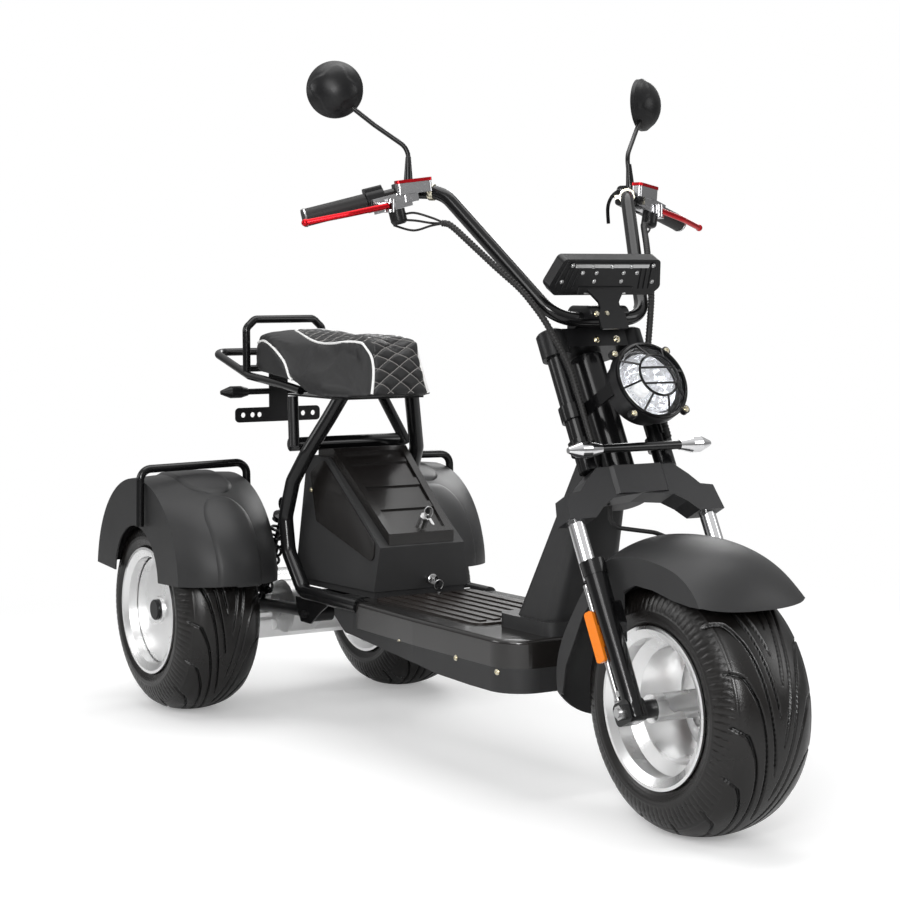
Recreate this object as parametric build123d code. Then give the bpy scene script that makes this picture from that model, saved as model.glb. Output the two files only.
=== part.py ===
from build123d import *
from math import cos, radians, sin, sqrt
import os

# Electric tricycle with fat road tyres: one wheel steered by a double-crown fork, two driven at the rear.
# Axes: +X forward, +Y to the rider's left, +Z up; millimetres. The sketches are drawn from the point on
# the ground below the rear axle. The finished pieces are moved so that the origin is the bottom centre
# of the whole vehicle's bounding box.

# ---- Driving dimensions -----------------------------------------------------------------------

# Overall
WHEELBASE = 1510.0
TRACK = 550.0

# Wheels
TYRE_RADIUS = 229.5
TYRE_WIDTH = 197.0
TYRE_WALL = 13.0
SIDEWALL_RADIUS = 160.0
TREAD_EDGE_RADIUS = 222.0
TREAD_HALF_WIDTH = 52.0
BEAD_SEAT_RADIUS = 126.6
RIM_FLANGE_RADIUS = 141.5
RIM_WIDTH = TYRE_WIDTH - 3
RIM_WALL = 6.0
WINDOW_RING = 76.0
FRONT_HUB_RADIUS = 24.5
FRONT_HUB_TOP = 100.0
FRONT_HUB_BOTTOM = -104.0
FRONT_DISC_Z = 37 - RIM_WIDTH / 2
REAR_DISC_Z = RIM_WIDTH / 2 - 35
REAR_HUB_RADIUS = 30.0
REAR_HUB_TOP = 72.0
REAR_HUB_BOTTOM = -66.0
AXLE_RADIUS = 8.0
SHAFT_RADIUS = 14.0

# Brakes
BRAKE_DISC_RADIUS = 84.0
BRAKE_DISC_THICKNESS = 4.0
BRAKE_DISC_Z = -100.0
BRAKE_CLEARANCE = 5.2
CALIPER_TOP = 43.0
HOSE_RADIUS = 4.0
HOSE_BEND = 24.0

# Clearances: parts that sit together, and parts that turn
SEAT_GAP = 0.25
RUN_GAP = 0.3

# Fork, measured in the fork frame
RAKE = 27.2
FORK_OFFSET = 27.5
LEG_SPACING = 290.0
LEG_Y = LEG_SPACING / 2
STANCHION_RADIUS = 15.0
LEG_RADIUS = 20.5
LEG_LOW_RADIUS = 16.5
LEG_TOP = 268.0
LEG_HIGH = (14.0, -144.0)
LEG_LOW = (8.0, -139.0)
AXLE_BLOCK = (50.0, 34.0, 40.0)
AXLE_END = 172.0
ROD_RADIUS = 5.5
ROD_AHEAD = -14.0
ROD_Y = 150.0
YOKE_BOTTOM = 345.0
YOKE_ARCH = 378.6
YOKE_TOP = 438.0
YOKE_BOSS_RADIUS = 37.0
TOP_CLAMP_BOTTOM = 676.0
TOP_CLAMP_THICKNESS = 36.0
UPPER_TUBE_SPACING = 170.0
UPPER_TUBE_RADIUS = 19.0
HEAD_TUBE_RADIUS = 30.0
STEM_RADIUS = 14.0

# Handlebar and controls
BAR_RADIUS = 13.0
BAR_BEND = 62.0
BAR_POINTS = [(WHEELBASE - 288, -97, 889), (WHEELBASE - 492, -209, 1122), (WHEELBASE - 548, -250, 1125)]
BAR_END_X = WHEELBASE - 617
BAR_END_Y = 432.0
BAR_END_Z = 1076.0
GRIP_RADIUS = 16.5
GRIP_LENGTH = 118.0
CLAMP_DISTANCE = 192.0
MIRROR_RADIUS = 53.0
MIRROR_STEM_RADIUS = 4.5
MIRROR_STEM = [
    (WHEELBASE - 542, -254, 1138), (WHEELBASE - 548, -250, 1204), (WHEELBASE - 589, -298, 1248),
    (WHEELBASE - 622, -340, 1290),
]
LOOM_RADIUS = 6.5
LOOM_AHEAD = UPPER_TUBE_RADIUS + 5 + LOOM_RADIUS + SEAT_GAP
LOOM_BEND = 24.0

# Lamps and instruments
DISPLAY_DEPTH = 26.0
HEADLIGHT_X = WHEELBASE - 137
SIGNAL_X = WHEELBASE - 165
SIGNAL_Z = 663.0
SIGNAL_BAR = 86.0
HEADLIGHT_Z = 779.5
HEADLIGHT_RADIUS = 75.0
LENS_RADIUS = 66.0

# Footboard and column
DECK_TOP = 305.0
DECK_SPLIT = 252.0
SKIRT_BOTTOM = 206.0
DECK_FRONT = WHEELBASE - 322
COLUMN_X = WHEELBASE - 410
DECK_REAR = 600.0
DECK_TAIL = 560.0
DECK_TAIL_HALF_WIDTH = 138.0
DECK_HALF_WIDTH = 176.0
DECK_SHOULDER = 8.0
DECK_CORNER = 66.0
MAT_X = 790.0
MAT_THICKNESS = 4.0
SKIRT_REAR = 490.0
PANEL_WALL = 3.5
COLUMN_FOOT = 331.0
COLUMN_TOP = 652.0

# Frame
RAIL_RADIUS = 16.0
HOOP_RADIUS = 16.0
SIDE_RAIL_Y = 158.0
SIDE_RAIL_Z = 296.0
FRAME_Z = 276.0
CROSS_RADIUS = 13.0
STRUT_RADIUS = 17.0
PAN_Z = 710.0
PIVOT = (362.0, 250.0)
ARM_Y = 122.0
ARM_RADIUS = 14.0
SHOCK_SPRING_RADIUS = 21.0
SHOCK_MOUNT = (196.0, 472.0)
HOUSING_TUBE_RADIUS = 30.0
HOUSING_END = 176.0
HOOP_POINTS = [
    (598, -SIDE_RAIL_Y, SIDE_RAIL_Z), (352, -SIDE_RAIL_Y, SIDE_RAIL_Z), (275, -155, 376),
    (262, -155, 450), (285, -148, 530), (332, -136, 595), (372, -105, 670), (396, -86, 718),
]

# Battery box
BOX_WALL = 4.0
BOX_FLOOR = 305.0
BOX_TOP = 596.0
PLINTH_STEP = 6.0
PLINTH_HEIGHT = 14.0
PACK_TOP = 420.0
LID_LOW = (583.0, 412.0)
LID_HIGH = (353.0, 583.0)
LID_REAR = 302.0
PANEL_OUTLINE = [(566, 418), (568, 378), (332, 446), (290, 548), (338, 578)]

# Fenders: stations are angle, half-width, edge radius and crown radius
FENDER_WALL = 3.5
FENDER_HALF_WIDTH = 118.0
FENDER_CENTRE = (WHEELBASE + 25, 250.0)
FENDER_TAIL_Z = (223.0, 165.0)
FENDER_STATIONS = [
    (198, 118, 270, 306), (185, 118, 281, 312), (175, 118, 281, 312), (166, 118, 273, 306),
    (151, 118, 259, 295), (136, 118, 257, 290), (120, 118, 257, 291), (108, 118, 248, 281),
    (97, 116, 239, 270), (87, 112, 232, 263), (77, 108, 227, 260), (67, 108, 221, 256),
    (60, 110, 216, 249), (53, 114, 211, 238), (46, 115, 204, 223),
]
FENDER_HEM = [(WHEELBASE + ahead, z) for ahead, z in [
    (-410, 225), (-237, 225), (-228, 272), (-200, 321), (-175, 369), (-138, 408), (-118, 398), (-93, 380),
    (-54, 396), (-54, 426), (-21, 440), (21, 437), (71, 424), (117, 420), (153, 421), (178, 413),
    (290, 400), (390, 0), (-410, 0),
]]

# Rear fenders: stations are angle, outer edge, crown and inner edge radius
REAR_FENDER_CENTRE = (-15.0, 300.0)
REAR_FENDER_OUTER = TRACK / 2 + 115
REAR_FENDER_INNER = TRACK / 2 - 119
REAR_FENDER_STATIONS = [
    (2, 228, 302, 238), (30, 230, 286, 240), (60, 229, 250, 236), (90, 226, 233, 230),
    (125, 224, 234, 228), (176, 224, 236, 228),
]
RAIL_X = 40.0
FENDER_RAIL_RADIUS = 9.0
FENDER_RAIL_TOP = 555.0
FENDER_RAIL_FOOT = 330.0
FENDER_RAIL_INNER = 140.0

# Reference frames
BASE = (Align.CENTER, Align.CENTER, Align.MIN)
HUNG = (Align.CENTER, Align.CENTER, Align.MAX)
FORK = Plane(
    origin=(WHEELBASE, 0, TYRE_RADIUS),
    x_dir=(cos(radians(RAKE)), 0, sin(radians(RAKE))),
    z_dir=(-sin(radians(RAKE)), 0, cos(radians(RAKE))),
)
LEVER_ROOT = Vector(WHEELBASE - 518, -312, 1097)
LEVER_TIP = Vector(WHEELBASE - 576, -452, 1066)
TANK_PLACE = Plane(
    origin=(WHEELBASE - 507, -263, 1130), x_dir=(-0.35, -0.93, -0.12), z_dir=(-0.042, -0.112, 0.993))
MIRROR_CENTRE = Vector(WHEELBASE - 636, -356, 1315)
DISPLAY_PLACE = Plane(origin=(WHEELBASE - 274, 0, 972), x_dir=(0, 1, 0), z_dir=(0.87, 0, -0.46))
HEADLIGHT_PLACE = Plane(origin=(HEADLIGHT_X, 0, HEADLIGHT_Z), x_dir=(0, 1, 0), z_dir=FORK.x_dir)


# ---- Helpers -----------------------------------------------------------------------------------
def rod(start, end, radius):
    """Round bar between two points."""
    start = Vector(start)
    span = Vector(end) - start
    place = Plane(origin=start, z_dir=span)
    return place * Cylinder(radius, span.length, align=BASE)


def taper(start, end, start_radius, end_radius):
    """Tapered round bar between two points."""
    start = Vector(start)
    span = Vector(end) - start
    place = Plane(origin=start, z_dir=span)
    return place * Cone(start_radius, end_radius, span.length, align=BASE)


def bent(points, radius, bend):
    """Round tube along straight runs joined by arcs."""
    path = FilletPolyline(*points, radius=bend)
    section = Plane(origin=path @ 0, z_dir=path % 0) * Circle(radius)
    return sweep(section, path=path)


def box(x, y, z):
    """Box between pairs of coordinates."""
    corner = (min(x), min(y), min(z))
    size = (max(x) - min(x), max(y) - min(y), max(z) - min(z))
    return Pos(*corner) * Box(*size, align=(Align.MIN, Align.MIN, Align.MIN))


def both_sides(shape):
    """A piece together with its mirror image across the middle plane."""
    return shape + mirror(shape, about=Plane.XZ)


def side_profile(points, half_width):
    """Outline in the XZ plane, extruded to both sides."""
    outline = make_face(Polyline(*[(x, z) for x, z in points], close=True))
    return extrude(Plane.XZ * outline, half_width, both=True)


def across(x, z, y_start, y_end, radius):
    """Round bar that runs across the vehicle."""
    return rod((x, y_start, z), (x, y_end, z), radius)


def fork_point(ahead, y, up):
    """Point given along the fork, in vehicle axes."""
    return FORK.from_local_coords(Vector(ahead, y, up))


def domed_form(centre, middle, stations, inset, low):
    """Solid under a domed arch; each station is (angle, half-width, first edge, crown, last edge)."""
    sections = []
    for angle, half, first, crown, last in stations:
        out = Vector(cos(radians(angle)), 0, sin(radians(angle)))
        across_y = Vector(0, 1, 0)
        place = Plane(origin=(centre[0], middle, centre[1]), x_dir=across_y, z_dir=across_y.cross(out))
        side = half - inset
        skin = ThreePointArc((-side, first - inset), (0, crown - inset), (side, last - inset))
        sides = Polyline((side, last - inset), (side, low), (-side, low), (-side, first - inset))
        sections.append(place * make_face(Wire([*skin.edges(), *sides.edges()])))
    return loft(sections)


# ---- Wheels: built about local Z, open side up -------------------------------------------------
def shoulder_radius():
    """Radius of the arc from the widest point of the sidewall to the edge of the tread."""
    rise = TREAD_EDGE_RADIUS - SIDEWALL_RADIUS
    run = TYRE_WIDTH / 2 - TREAD_HALF_WIDTH
    return (rise * rise + run * run) / (2 * run)


def tyre():
    """Hollow carcass with round shoulders, on the rim's bead seats."""
    half = TYRE_WIDTH / 2
    seat = BEAD_SEAT_RADIUS + SEAT_GAP
    bead = RIM_WIDTH / 2 - 9
    heel = seat + 12
    edge = TREAD_EDGE_RADIUS
    flat = TREAD_HALF_WIDTH
    arc = shoulder_radius()
    mid_r = SIDEWALL_RADIUS + arc * sin(radians(45))
    mid_z = half - arc + arc * cos(radians(45))
    low_mid = (heel + SIDEWALL_RADIUS) / 2
    curves = [
        ThreePointArc((heel, -bead), (low_mid, -half + 3.5), (SIDEWALL_RADIUS, -half)),
        ThreePointArc((SIDEWALL_RADIUS, -half), (mid_r, -mid_z), (edge, -flat)),
        ThreePointArc((edge, -flat), (TYRE_RADIUS, 0), (edge, flat)),
        ThreePointArc((edge, flat), (mid_r, mid_z), (SIDEWALL_RADIUS, half)),
        ThreePointArc((SIDEWALL_RADIUS, half), (low_mid, half - 3.5), (heel, bead)),
    ]
    wall = half - TYRE_WALL
    belt = TYRE_RADIUS - TYRE_WALL - 3
    side = SIDEWALL_RADIUS
    inner = Polyline(
        (heel, bead), (seat, bead), (seat, bead - 16), (side - 6, wall), (side + 20, wall - 6),
        (belt - 12, flat), (belt, 20), (belt, -20), (belt - 12, -flat), (side + 20, -wall + 6),
        (side - 6, -wall), (seat, -bead + 16), (seat, -bead), (heel, -bead))
    face = make_face(Wire([edge for curve in [*curves, inner] for edge in curve.edges()]))
    return revolve(Plane.XZ * face, Axis.Z, 360)


def rim(disc_z, disc_thickness, hub_radius, hub_top, hub_bottom, bore_radius, window_count):
    """Drop-centre rim with a pressed disc, a hub tube and oval windows in the disc."""
    half = RIM_WIDTH / 2
    seat = BEAD_SEAT_RADIUS
    well = seat - 18
    flange = RIM_FLANGE_RADIUS
    wall = RIM_WALL
    profile = Polyline(
        (flange, half), (flange, half - 4), (seat, half - 7), (seat, half - 34), (well, half - 50),
        (well, -half + 50), (seat, -half + 34), (seat, -half + 7), (flange, -half + 4), (flange, -half),
        (flange - wall, -half), (seat - wall, -half + 8), (seat - wall, -half + 36),
        (well - wall, -half + 52), (well - wall, half - 52), (seat - wall, half - 36),
        (seat - wall, half - 8), (flange - wall, half), close=True,
    )
    barrel = revolve(Plane.XZ * make_face(profile), Axis.Z, 360)
    disc = Pos(0, 0, disc_z) * Cylinder(seat - 9, disc_thickness)
    window = extrude(SlotOverall(50, 40), disc_thickness, both=True)
    for index in range(window_count):
        angle = 360 / window_count * (index + 0.5)
        disc -= Pos(0, 0, disc_z) * Rot(0, 0, angle) * Pos(WINDOW_RING, 0, 0) * Rot(0, 0, 90) * window
    hub_length = hub_top - hub_bottom
    hub = Pos(0, 0, hub_bottom) * Cylinder(hub_radius, hub_length, align=BASE)
    bore = Pos(0, 0, hub_bottom) * Cylinder(bore_radius, hub_length, align=BASE)
    return barrel + disc + hub - bore


def wheel_place(x, y, facing):
    """Frame of a wheel whose open side faces the given Y direction."""
    return Plane(origin=(x, y, TYRE_RADIUS), x_dir=(1, 0, 0), z_dir=(0, facing, 0))


def brake_disc(inner_radius, outer_radius, z_low, thickness):
    """Ventilated steel brake disc."""
    disc = Cylinder(outer_radius, thickness, align=BASE)
    disc -= Cylinder(inner_radius, thickness, align=BASE)
    hole = Cylinder(8, thickness, align=BASE)
    ring = (inner_radius + outer_radius) / 2 + 4
    for index in range(8):
        disc -= Rot(0, 0, 45 * index) * Pos(ring, 0, 0) * hole
    return Pos(0, 0, z_low) * disc


def front_wheel():
    """Pieces of the steered wheel."""
    place = wheel_place(WHEELBASE, 0, -1)
    bore = AXLE_RADIUS + RUN_GAP
    cast = rim(FRONT_DISC_Z, 8, FRONT_HUB_RADIUS, FRONT_HUB_TOP, FRONT_HUB_BOTTOM, bore, 6)
    boss_height = FRONT_DISC_Z - BRAKE_DISC_Z - BRAKE_DISC_THICKNESS
    boss = Cylinder(40, boss_height, align=BASE) - Cylinder(bore, boss_height, align=BASE)
    cast += Pos(0, 0, BRAKE_DISC_Z + BRAKE_DISC_THICKNESS) * boss
    disc = brake_disc(FRONT_HUB_RADIUS + SEAT_GAP, BRAKE_DISC_RADIUS, BRAKE_DISC_Z, BRAKE_DISC_THICKNESS)
    return {
        "front_tyre": place * tyre(),
        "front_rim": place * cast,
        "front_brake_disc": place * disc,
    }


def rear_wheel(side, label):
    """Pieces of one driven wheel; side is -1 on the right and +1 on the left."""
    place = wheel_place(0, side * TRACK / 2, side)
    cast = rim(REAR_DISC_Z, 10, REAR_HUB_RADIUS, REAR_HUB_TOP, REAR_HUB_BOTTOM, SHAFT_RADIUS + SEAT_GAP, 0)
    shaft_bottom = 60 - TRACK / 2
    shaft = Pos(0, 0, shaft_bottom) * Cylinder(SHAFT_RADIUS, REAR_HUB_TOP - shaft_bottom, align=BASE)
    cap = Pos(0, 0, REAR_HUB_TOP) * Cylinder(23, 8, align=BASE)
    cap = chamfer(cap.faces().sort_by(Axis.Z)[-1].edges(), 2)
    disc = brake_disc(SHAFT_RADIUS - 1, 80, REAR_HUB_BOTTOM - BRAKE_DISC_THICKNESS, BRAKE_DISC_THICKNESS)
    return {
        f"rear_{label}_tyre": place * tyre(),
        f"rear_{label}_rim": place * cast,
        f"rear_{label}_shaft": place * (shaft + cap + disc),
    }


# ---- Front fork --------------------------------------------------------------------------------
def leg_axis(up):
    """Point on the centre line of the right lower leg, in the fork frame."""
    share = up / LEG_TOP
    ahead = LEG_LOW[0] + (LEG_HIGH[0] - LEG_LOW[0]) * share
    aside = LEG_LOW[1] + (LEG_HIGH[1] - LEG_LOW[1]) * share
    return Vector(ahead, aside, up)


def leg_bar(radius_low, radius_high, start=-14.0, end=LEG_TOP):
    """Tapered bar along the centre line of the right lower leg."""
    low = leg_axis(start)
    high = leg_axis(end)
    return taper(low, high, radius_low, radius_high)


def stanchions():
    """Chrome tubes from inside the lower legs to the yoke."""
    low = LEG_TOP - 30 + SEAT_GAP
    tube = Pos(0, -LEG_Y, low) * Cylinder(
        STANCHION_RADIUS, YOKE_BOTTOM - low, align=BASE)
    return FORK * both_sides(tube)


def fork_legs():
    """Black lower legs with axle clamps, and the lugs that carry the fender."""
    leg = leg_bar(LEG_LOW_RADIUS, LEG_RADIUS)
    leg += leg_bar(LEG_RADIUS + 1.5, LEG_RADIUS + 2, start=LEG_TOP - 26)
    block = Pos(-5, LEG_LOW[1], 0) * Box(*AXLE_BLOCK)
    leg += fillet(block.edges().filter_by(Axis.Y), 12)
    face = FENDER_HALF_WIDTH + SEAT_GAP
    lug = make_face(Polyline((-6, 118), (14, 118), (29, 150), (29, 190), (-6, 190), close=True))
    lug = extrude(Plane.XZ * fillet(lug.vertices(), 5), -LEG_HIGH[1] - face)
    leg += Pos(0, -face, 0) * lug
    hole = Pos(0, LEG_LOW[1], 0) * Rot(90, 0, 0) * Cylinder(AXLE_RADIUS + SEAT_GAP, 80)
    socket = Pos(0, -LEG_Y, LEG_TOP - 30) * Cylinder(
        STANCHION_RADIUS + SEAT_GAP, 60, align=BASE)
    return FORK * both_sides(leg - hole - socket)


def front_axle():
    """Axle pin with its two nuts and the spacers beside the hub."""
    pin = Rot(90, 0, 0) * Cylinder(AXLE_RADIUS, 2 * AXLE_END)
    outer_face = -LEG_LOW[1] + AXLE_BLOCK[1] / 2 + SEAT_GAP
    inner_face = -LEG_LOW[1] - AXLE_BLOCK[1] / 2 - SEAT_GAP
    nut = Pos(0, -outer_face, 0) * extrude(Plane.XZ * RegularPolygon(13.5, 6), 11)
    spacer = rod((0, -inner_face, 0), (0, -FRONT_HUB_TOP - RUN_GAP, 0), 16)
    left = rod((0, inner_face, 0), (0, -FRONT_HUB_BOTTOM + RUN_GAP, 0), 16)
    return FORK * (pin + both_sides(nut) + spacer + left)


def reflector_rods():
    """Slim bright rods beside the lower legs, held by a clip at each end."""
    low, high = 24, LEG_TOP - 34
    slim = rod((ROD_AHEAD, -ROD_Y, low), (ROD_AHEAD, -ROD_Y, high), ROD_RADIUS)
    for up in (low + 10, high - 10):
        slim += Pos(ROD_AHEAD + 7, -ROD_Y + 3, up) * Box(18, 14, 10)
    slim -= leg_bar(LEG_LOW_RADIUS + SEAT_GAP, LEG_RADIUS + SEAT_GAP)
    return FORK * both_sides(slim)


def reflectors():
    """Amber bars clipped to the slim rods, turned a little towards the front."""
    bar = Pos(0, -13, 0) * Box(19, 7, 92)
    bar = fillet(bar.edges().filter_by(Axis.Y), 6)
    clip = Pos(0, -5, 0) * Box(14, 12, 40) - Cylinder(ROD_RADIUS + SEAT_GAP, 60)
    return FORK * both_sides(Pos(ROD_AHEAD, -ROD_Y, 139) * Rot(0, 0, 15) * (bar + clip))


def lower_yoke():
    """Cast crown with an ear on each stanchion, a boss on the steering axis and the stem."""
    outline = Polyline(
        (0, YOKE_TOP), (84, YOKE_TOP), (112, YOKE_TOP - 22), (132, 396), (160, 392), (170, YOKE_BOTTOM),
        (114, YOKE_BOTTOM), (92, 364), (66, 379), (0, 385), close=True)
    bridge = extrude(Plane.YZ * make_face(outline), 22, both=True)
    height = YOKE_TOP - 385
    boss = Pos(-FORK_OFFSET, 0, 385) * Cylinder(
        YOKE_BOSS_RADIUS, height, align=BASE)
    front = Pos(11, 0, 385 + height / 2) * Box(34, 128, height)
    front = chamfer(front.edges().filter_by(Axis.Z).group_by(Axis.X)[-1], 12)
    stem = Pos(-FORK_OFFSET, 0, YOKE_TOP) * Cylinder(
        STEM_RADIUS, TOP_CLAMP_BOTTOM - YOKE_TOP, align=BASE)
    return FORK * (both_sides(bridge) + boss + front + stem)


def upper_tubes():
    """Gloss black tubes from the yoke to the top clamp."""
    tube = Pos(0, -UPPER_TUBE_SPACING / 2, YOKE_TOP) * Cylinder(
        UPPER_TUBE_RADIUS, TOP_CLAMP_BOTTOM - YOKE_TOP, align=BASE)
    return FORK * both_sides(tube)


def top_clamp():
    """Upper fork clamp with its two split ends and the stem nut."""
    plate = make_face(Polyline(
        (-64, -42), (-64, 42), (-30, 78), (-20, 92), (20, 92), (20, -92), (-20, -92), (-30, -78),
        close=True))
    clamp = Pos(0, 0, TOP_CLAMP_BOTTOM) * extrude(fillet(plate.vertices(), 8), TOP_CLAMP_THICKNESS)
    eye_low = TOP_CLAMP_BOTTOM - 14
    eye = Pos(0, -UPPER_TUBE_SPACING / 2, eye_low) * Cylinder(27, TOP_CLAMP_THICKNESS + 14, align=BASE)
    eye = chamfer(eye.faces().sort_by(Axis.Z)[-1].edges(), 3)
    bore = Pos(0, -UPPER_TUBE_SPACING / 2, eye_low - 1) * Cylinder(
        UPPER_TUBE_RADIUS + SEAT_GAP, 15 + SEAT_GAP, align=BASE)
    return FORK * (clamp + both_sides(eye) - both_sides(bore))


def front_caliper():
    """Brake caliper round the edge of the disc, on an arm from the left leg."""
    face = -LEG_LOW[1] - AXLE_BLOCK[1] / 2 - SEAT_GAP
    disc_y = -BRAKE_DISC_Z - BRAKE_DISC_THICKNESS / 2
    gap = BRAKE_CLEARANCE
    body = fillet(box((-102, -58), (82, 116), (-16, CALIPER_TOP)).edges().filter_by(Axis.Y), 8)
    body += box((-70, -31), (107, face), (-10, 18)) + box((-31, -18), (114, face), (-10, 18))
    slot = rod((0, disc_y - gap - 2, 0), (0, disc_y + gap + 2, 0), BRAKE_DISC_RADIUS + gap)
    return FORK * (body - slot)


def brake_hose():
    """Hose from the yoke over the fender to the caliper behind the left leg."""
    points = [
        fork_point(-16, -50, YOKE_ARCH - SEAT_GAP), fork_point(-34, -50, 345),
        Vector(WHEELBASE - 148, 20, 510), Vector(WHEELBASE - 148, 78, 488),
        fork_point(-22, 128, 262), fork_point(-26, 128, 110),
        fork_point(-74, 111, 86), fork_point(-74, 111, CALIPER_TOP + SEAT_GAP)]
    return bent(points, HOSE_RADIUS, HOSE_BEND)


# ---- Handlebar and controls --------------------------------------------------------------------
def bar_end():
    """Outer end of the right half of the handlebar."""
    return Vector(BAR_END_X, -BAR_END_Y, BAR_END_Z)


def bar_outboard(distance):
    """Point on the straight outer run of the right half, measured inboard from its end."""
    inner = Vector(BAR_POINTS[-1])
    return bar_end() + (inner - bar_end()).normalized() * distance


def bar_place(distance):
    """Frame on the right outer run: local X outboard along the bar, local Y ahead, local Z up."""
    along = (bar_end() - Vector(BAR_POINTS[-1])).normalized()
    ahead = Vector(0, 0, 1).cross(along).normalized()
    return Plane(origin=bar_outboard(distance), x_dir=along, z_dir=along.cross(ahead))


def handlebar():
    """High bar with a flat middle, two risers and two swept outer runs."""
    half = [*BAR_POINTS, tuple(bar_end())]
    points = [(x, -y, z) for x, y, z in reversed(half)] + half
    return bent(points, BAR_RADIUS, BAR_BEND)


def bar_cutter():
    """Space of the right half of the bar, with seating clearance."""
    return bent([*BAR_POINTS, tuple(bar_end())], BAR_RADIUS + SEAT_GAP, BAR_BEND)


def riser_block():
    """Block that clamps the bar to the top clamp and carries the instrument plate."""
    low = TOP_CLAMP_BOTTOM + TOP_CLAMP_THICKNESS
    block = box((WHEELBASE - 334, WHEELBASE - 254), (-44, 44), (820, 914))
    block = fillet(block.edges().filter_by(Axis.Y).group_by(Axis.Z)[-1], 18)
    block = fillet(block.edges().filter_by(Axis.Z), 6)
    block -= across(BAR_POINTS[0][0], BAR_POINTS[0][2], -70, 70, BAR_RADIUS + SEAT_GAP)
    block -= FORK * (Pos(0, 0, low) * Box(300, 300, 200, align=HUNG))
    foot = Plane(origin=(WHEELBASE - 254, 0, 903), x_dir=(0, 1, 0), z_dir=(0.917, 0, 0.4))
    plate = make_face(Polyline(
        (-30, -34), (-30, -6), (-22, 6), (-22, 18), (-42, 44), (-42, 70), (42, 70), (42, 44),
        (22, 18), (22, 6), (30, -6), (30, -34), close=True))
    plate = foot * Pos(0, 0, -4) * extrude(fillet(plate.vertices(), 4), 5)
    plate -= DISPLAY_PLACE * Pos(0, 0, DISPLAY_DEPTH / 2 + SEAT_GAP) * Box(
        400, 300, 200, align=HUNG)
    return block + plate


def grips():
    """Rubber grips with a bright end cap."""
    start = bar_outboard(GRIP_LENGTH)
    end = bar_outboard(-3)
    grip = rod(start, end, GRIP_RADIUS) - rod(start, bar_end(), BAR_RADIUS + SEAT_GAP)
    return both_sides(grip)


def lever_block(gap):
    """Cylinder block of the right lever perch."""
    return bar_place(160) * Pos(0, 32, -12) * Box(70 + 2 * gap, 24 + 2 * gap, 28 + 2 * gap)


def lever_fork(gap):
    """Forked end of the right lever perch, before its slot is cut."""
    fork = rod(LEVER_ROOT + Vector(0, 6, 12 + gap), LEVER_ROOT + Vector(0, 6, -12 - gap), 9 + gap)
    return fork + Pos(*(LEVER_ROOT + Vector(-9, 9, 0))) * Box(22 + 2 * gap, 12 + 2 * gap, 24 + 2 * gap)


def perch_clamp(gap):
    """Clamp of the right lever perch round the bar."""
    clamp = Box(34, 42 + 2 * gap, 40 + 2 * gap)
    return bar_place(CLAMP_DISTANCE) * fillet(clamp.edges().filter_by(Axis.X), 8)


def control_housings():
    """Switch and throttle housings beside the grips, and the cable drums under the perches."""
    at_grip = bar_place(GRIP_LENGTH + 18)
    body = at_grip * Rot(0, 90, 0) * Cylinder(21, 34)
    body += at_grip * Pos(0, -8, 8) * fillet(Box(32, 40, 34).edges().filter_by(Axis.X), 6)
    body -= lever_block(1)
    drum = bar_place(160) * Pos(-4, 36, -26 - SEAT_GAP) * fillet(
        Cylinder(15.5, 28, align=HUNG).edges().group_by(Axis.Z)[0], 8)
    drum -= lever_fork(SEAT_GAP)
    return both_sides(body - bar_cutter() + drum)


def master_cylinders():
    """Lever perches: a clamp round the bar, a cylinder block and a fluid reservoir."""
    tank = TANK_PLACE * fillet(Box(66, 22, 20).edges().filter_by(Axis.Z), 6)
    neck = TANK_PLACE * Pos(6, -2, -16) * Box(24, 16, 16)
    slot = Pos(*(LEVER_ROOT + Vector(0, -10, 0))) * Box(40, 32, 14)
    perch = perch_clamp(0) + lever_block(0) + tank + neck - slot
    fork = lever_fork(0) - Pos(*(LEVER_ROOT + Vector(0, -12, 0))) * Box(40, 32, 14)
    return both_sides(perch + fork - bar_cutter())


def reservoir_caps():
    """Flat caps on the fluid reservoirs."""
    cap = TANK_PLACE * Pos(0, 0, 10 + SEAT_GAP) * extrude(RectangleRounded(68, 24, 6), 6)
    return both_sides(cap)


def levers():
    """Two-finger blades with a rounded tip."""
    root = LEVER_ROOT + Vector(0, 2, 0)
    mid = root + (LEVER_TIP - root) * 0.5 + Vector(8, 0, 0)
    blade = bent([root, mid, LEVER_TIP], 5.5, 60) + Pos(*LEVER_TIP) * Sphere(7)
    blade -= Pos(*(LEVER_ROOT + Vector(0, 12, 0))) * Box(60, 16 - 2 * SEAT_GAP, 30)
    return both_sides(blade)


def mirror_stems():
    """Bent stems with a tapered boot, from the lever perches to the mirrors."""
    stem = bent(MIRROR_STEM, MIRROR_STEM_RADIUS, 34)
    boot = taper(MIRROR_STEM[0], Vector(MIRROR_STEM[0]) + Vector(-3, 2, 50), 9, 5.2)
    return both_sides(stem + boot - perch_clamp(SEAT_GAP) - bar_cutter())


def mirror_heads():
    """Round mirrors with a domed back."""
    ahead = Vector(0.85, -0.52, 0.04).normalized()
    place = Plane(origin=MIRROR_CENTRE, z_dir=ahead)
    shell = Pos(0, 0, -31) * Sphere(61.6)
    head = shell & Cylinder(MIRROR_RADIUS, 34, align=BASE)
    head += Cylinder(MIRROR_RADIUS, 8, align=HUNG)
    stem = rod(MIRROR_STEM[-2], MIRROR_STEM[-1], MIRROR_STEM_RADIUS + SEAT_GAP)
    return both_sides(place * head - stem)


def loom(start_points, fork_points, radius):
    """Corrugated cable sleeve through points in vehicle axes, then points in the fork frame."""
    points = [Vector(point) for point in start_points] + [fork_point(*point) for point in fork_points]
    return bent(points, radius, LOOM_BEND)


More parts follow.
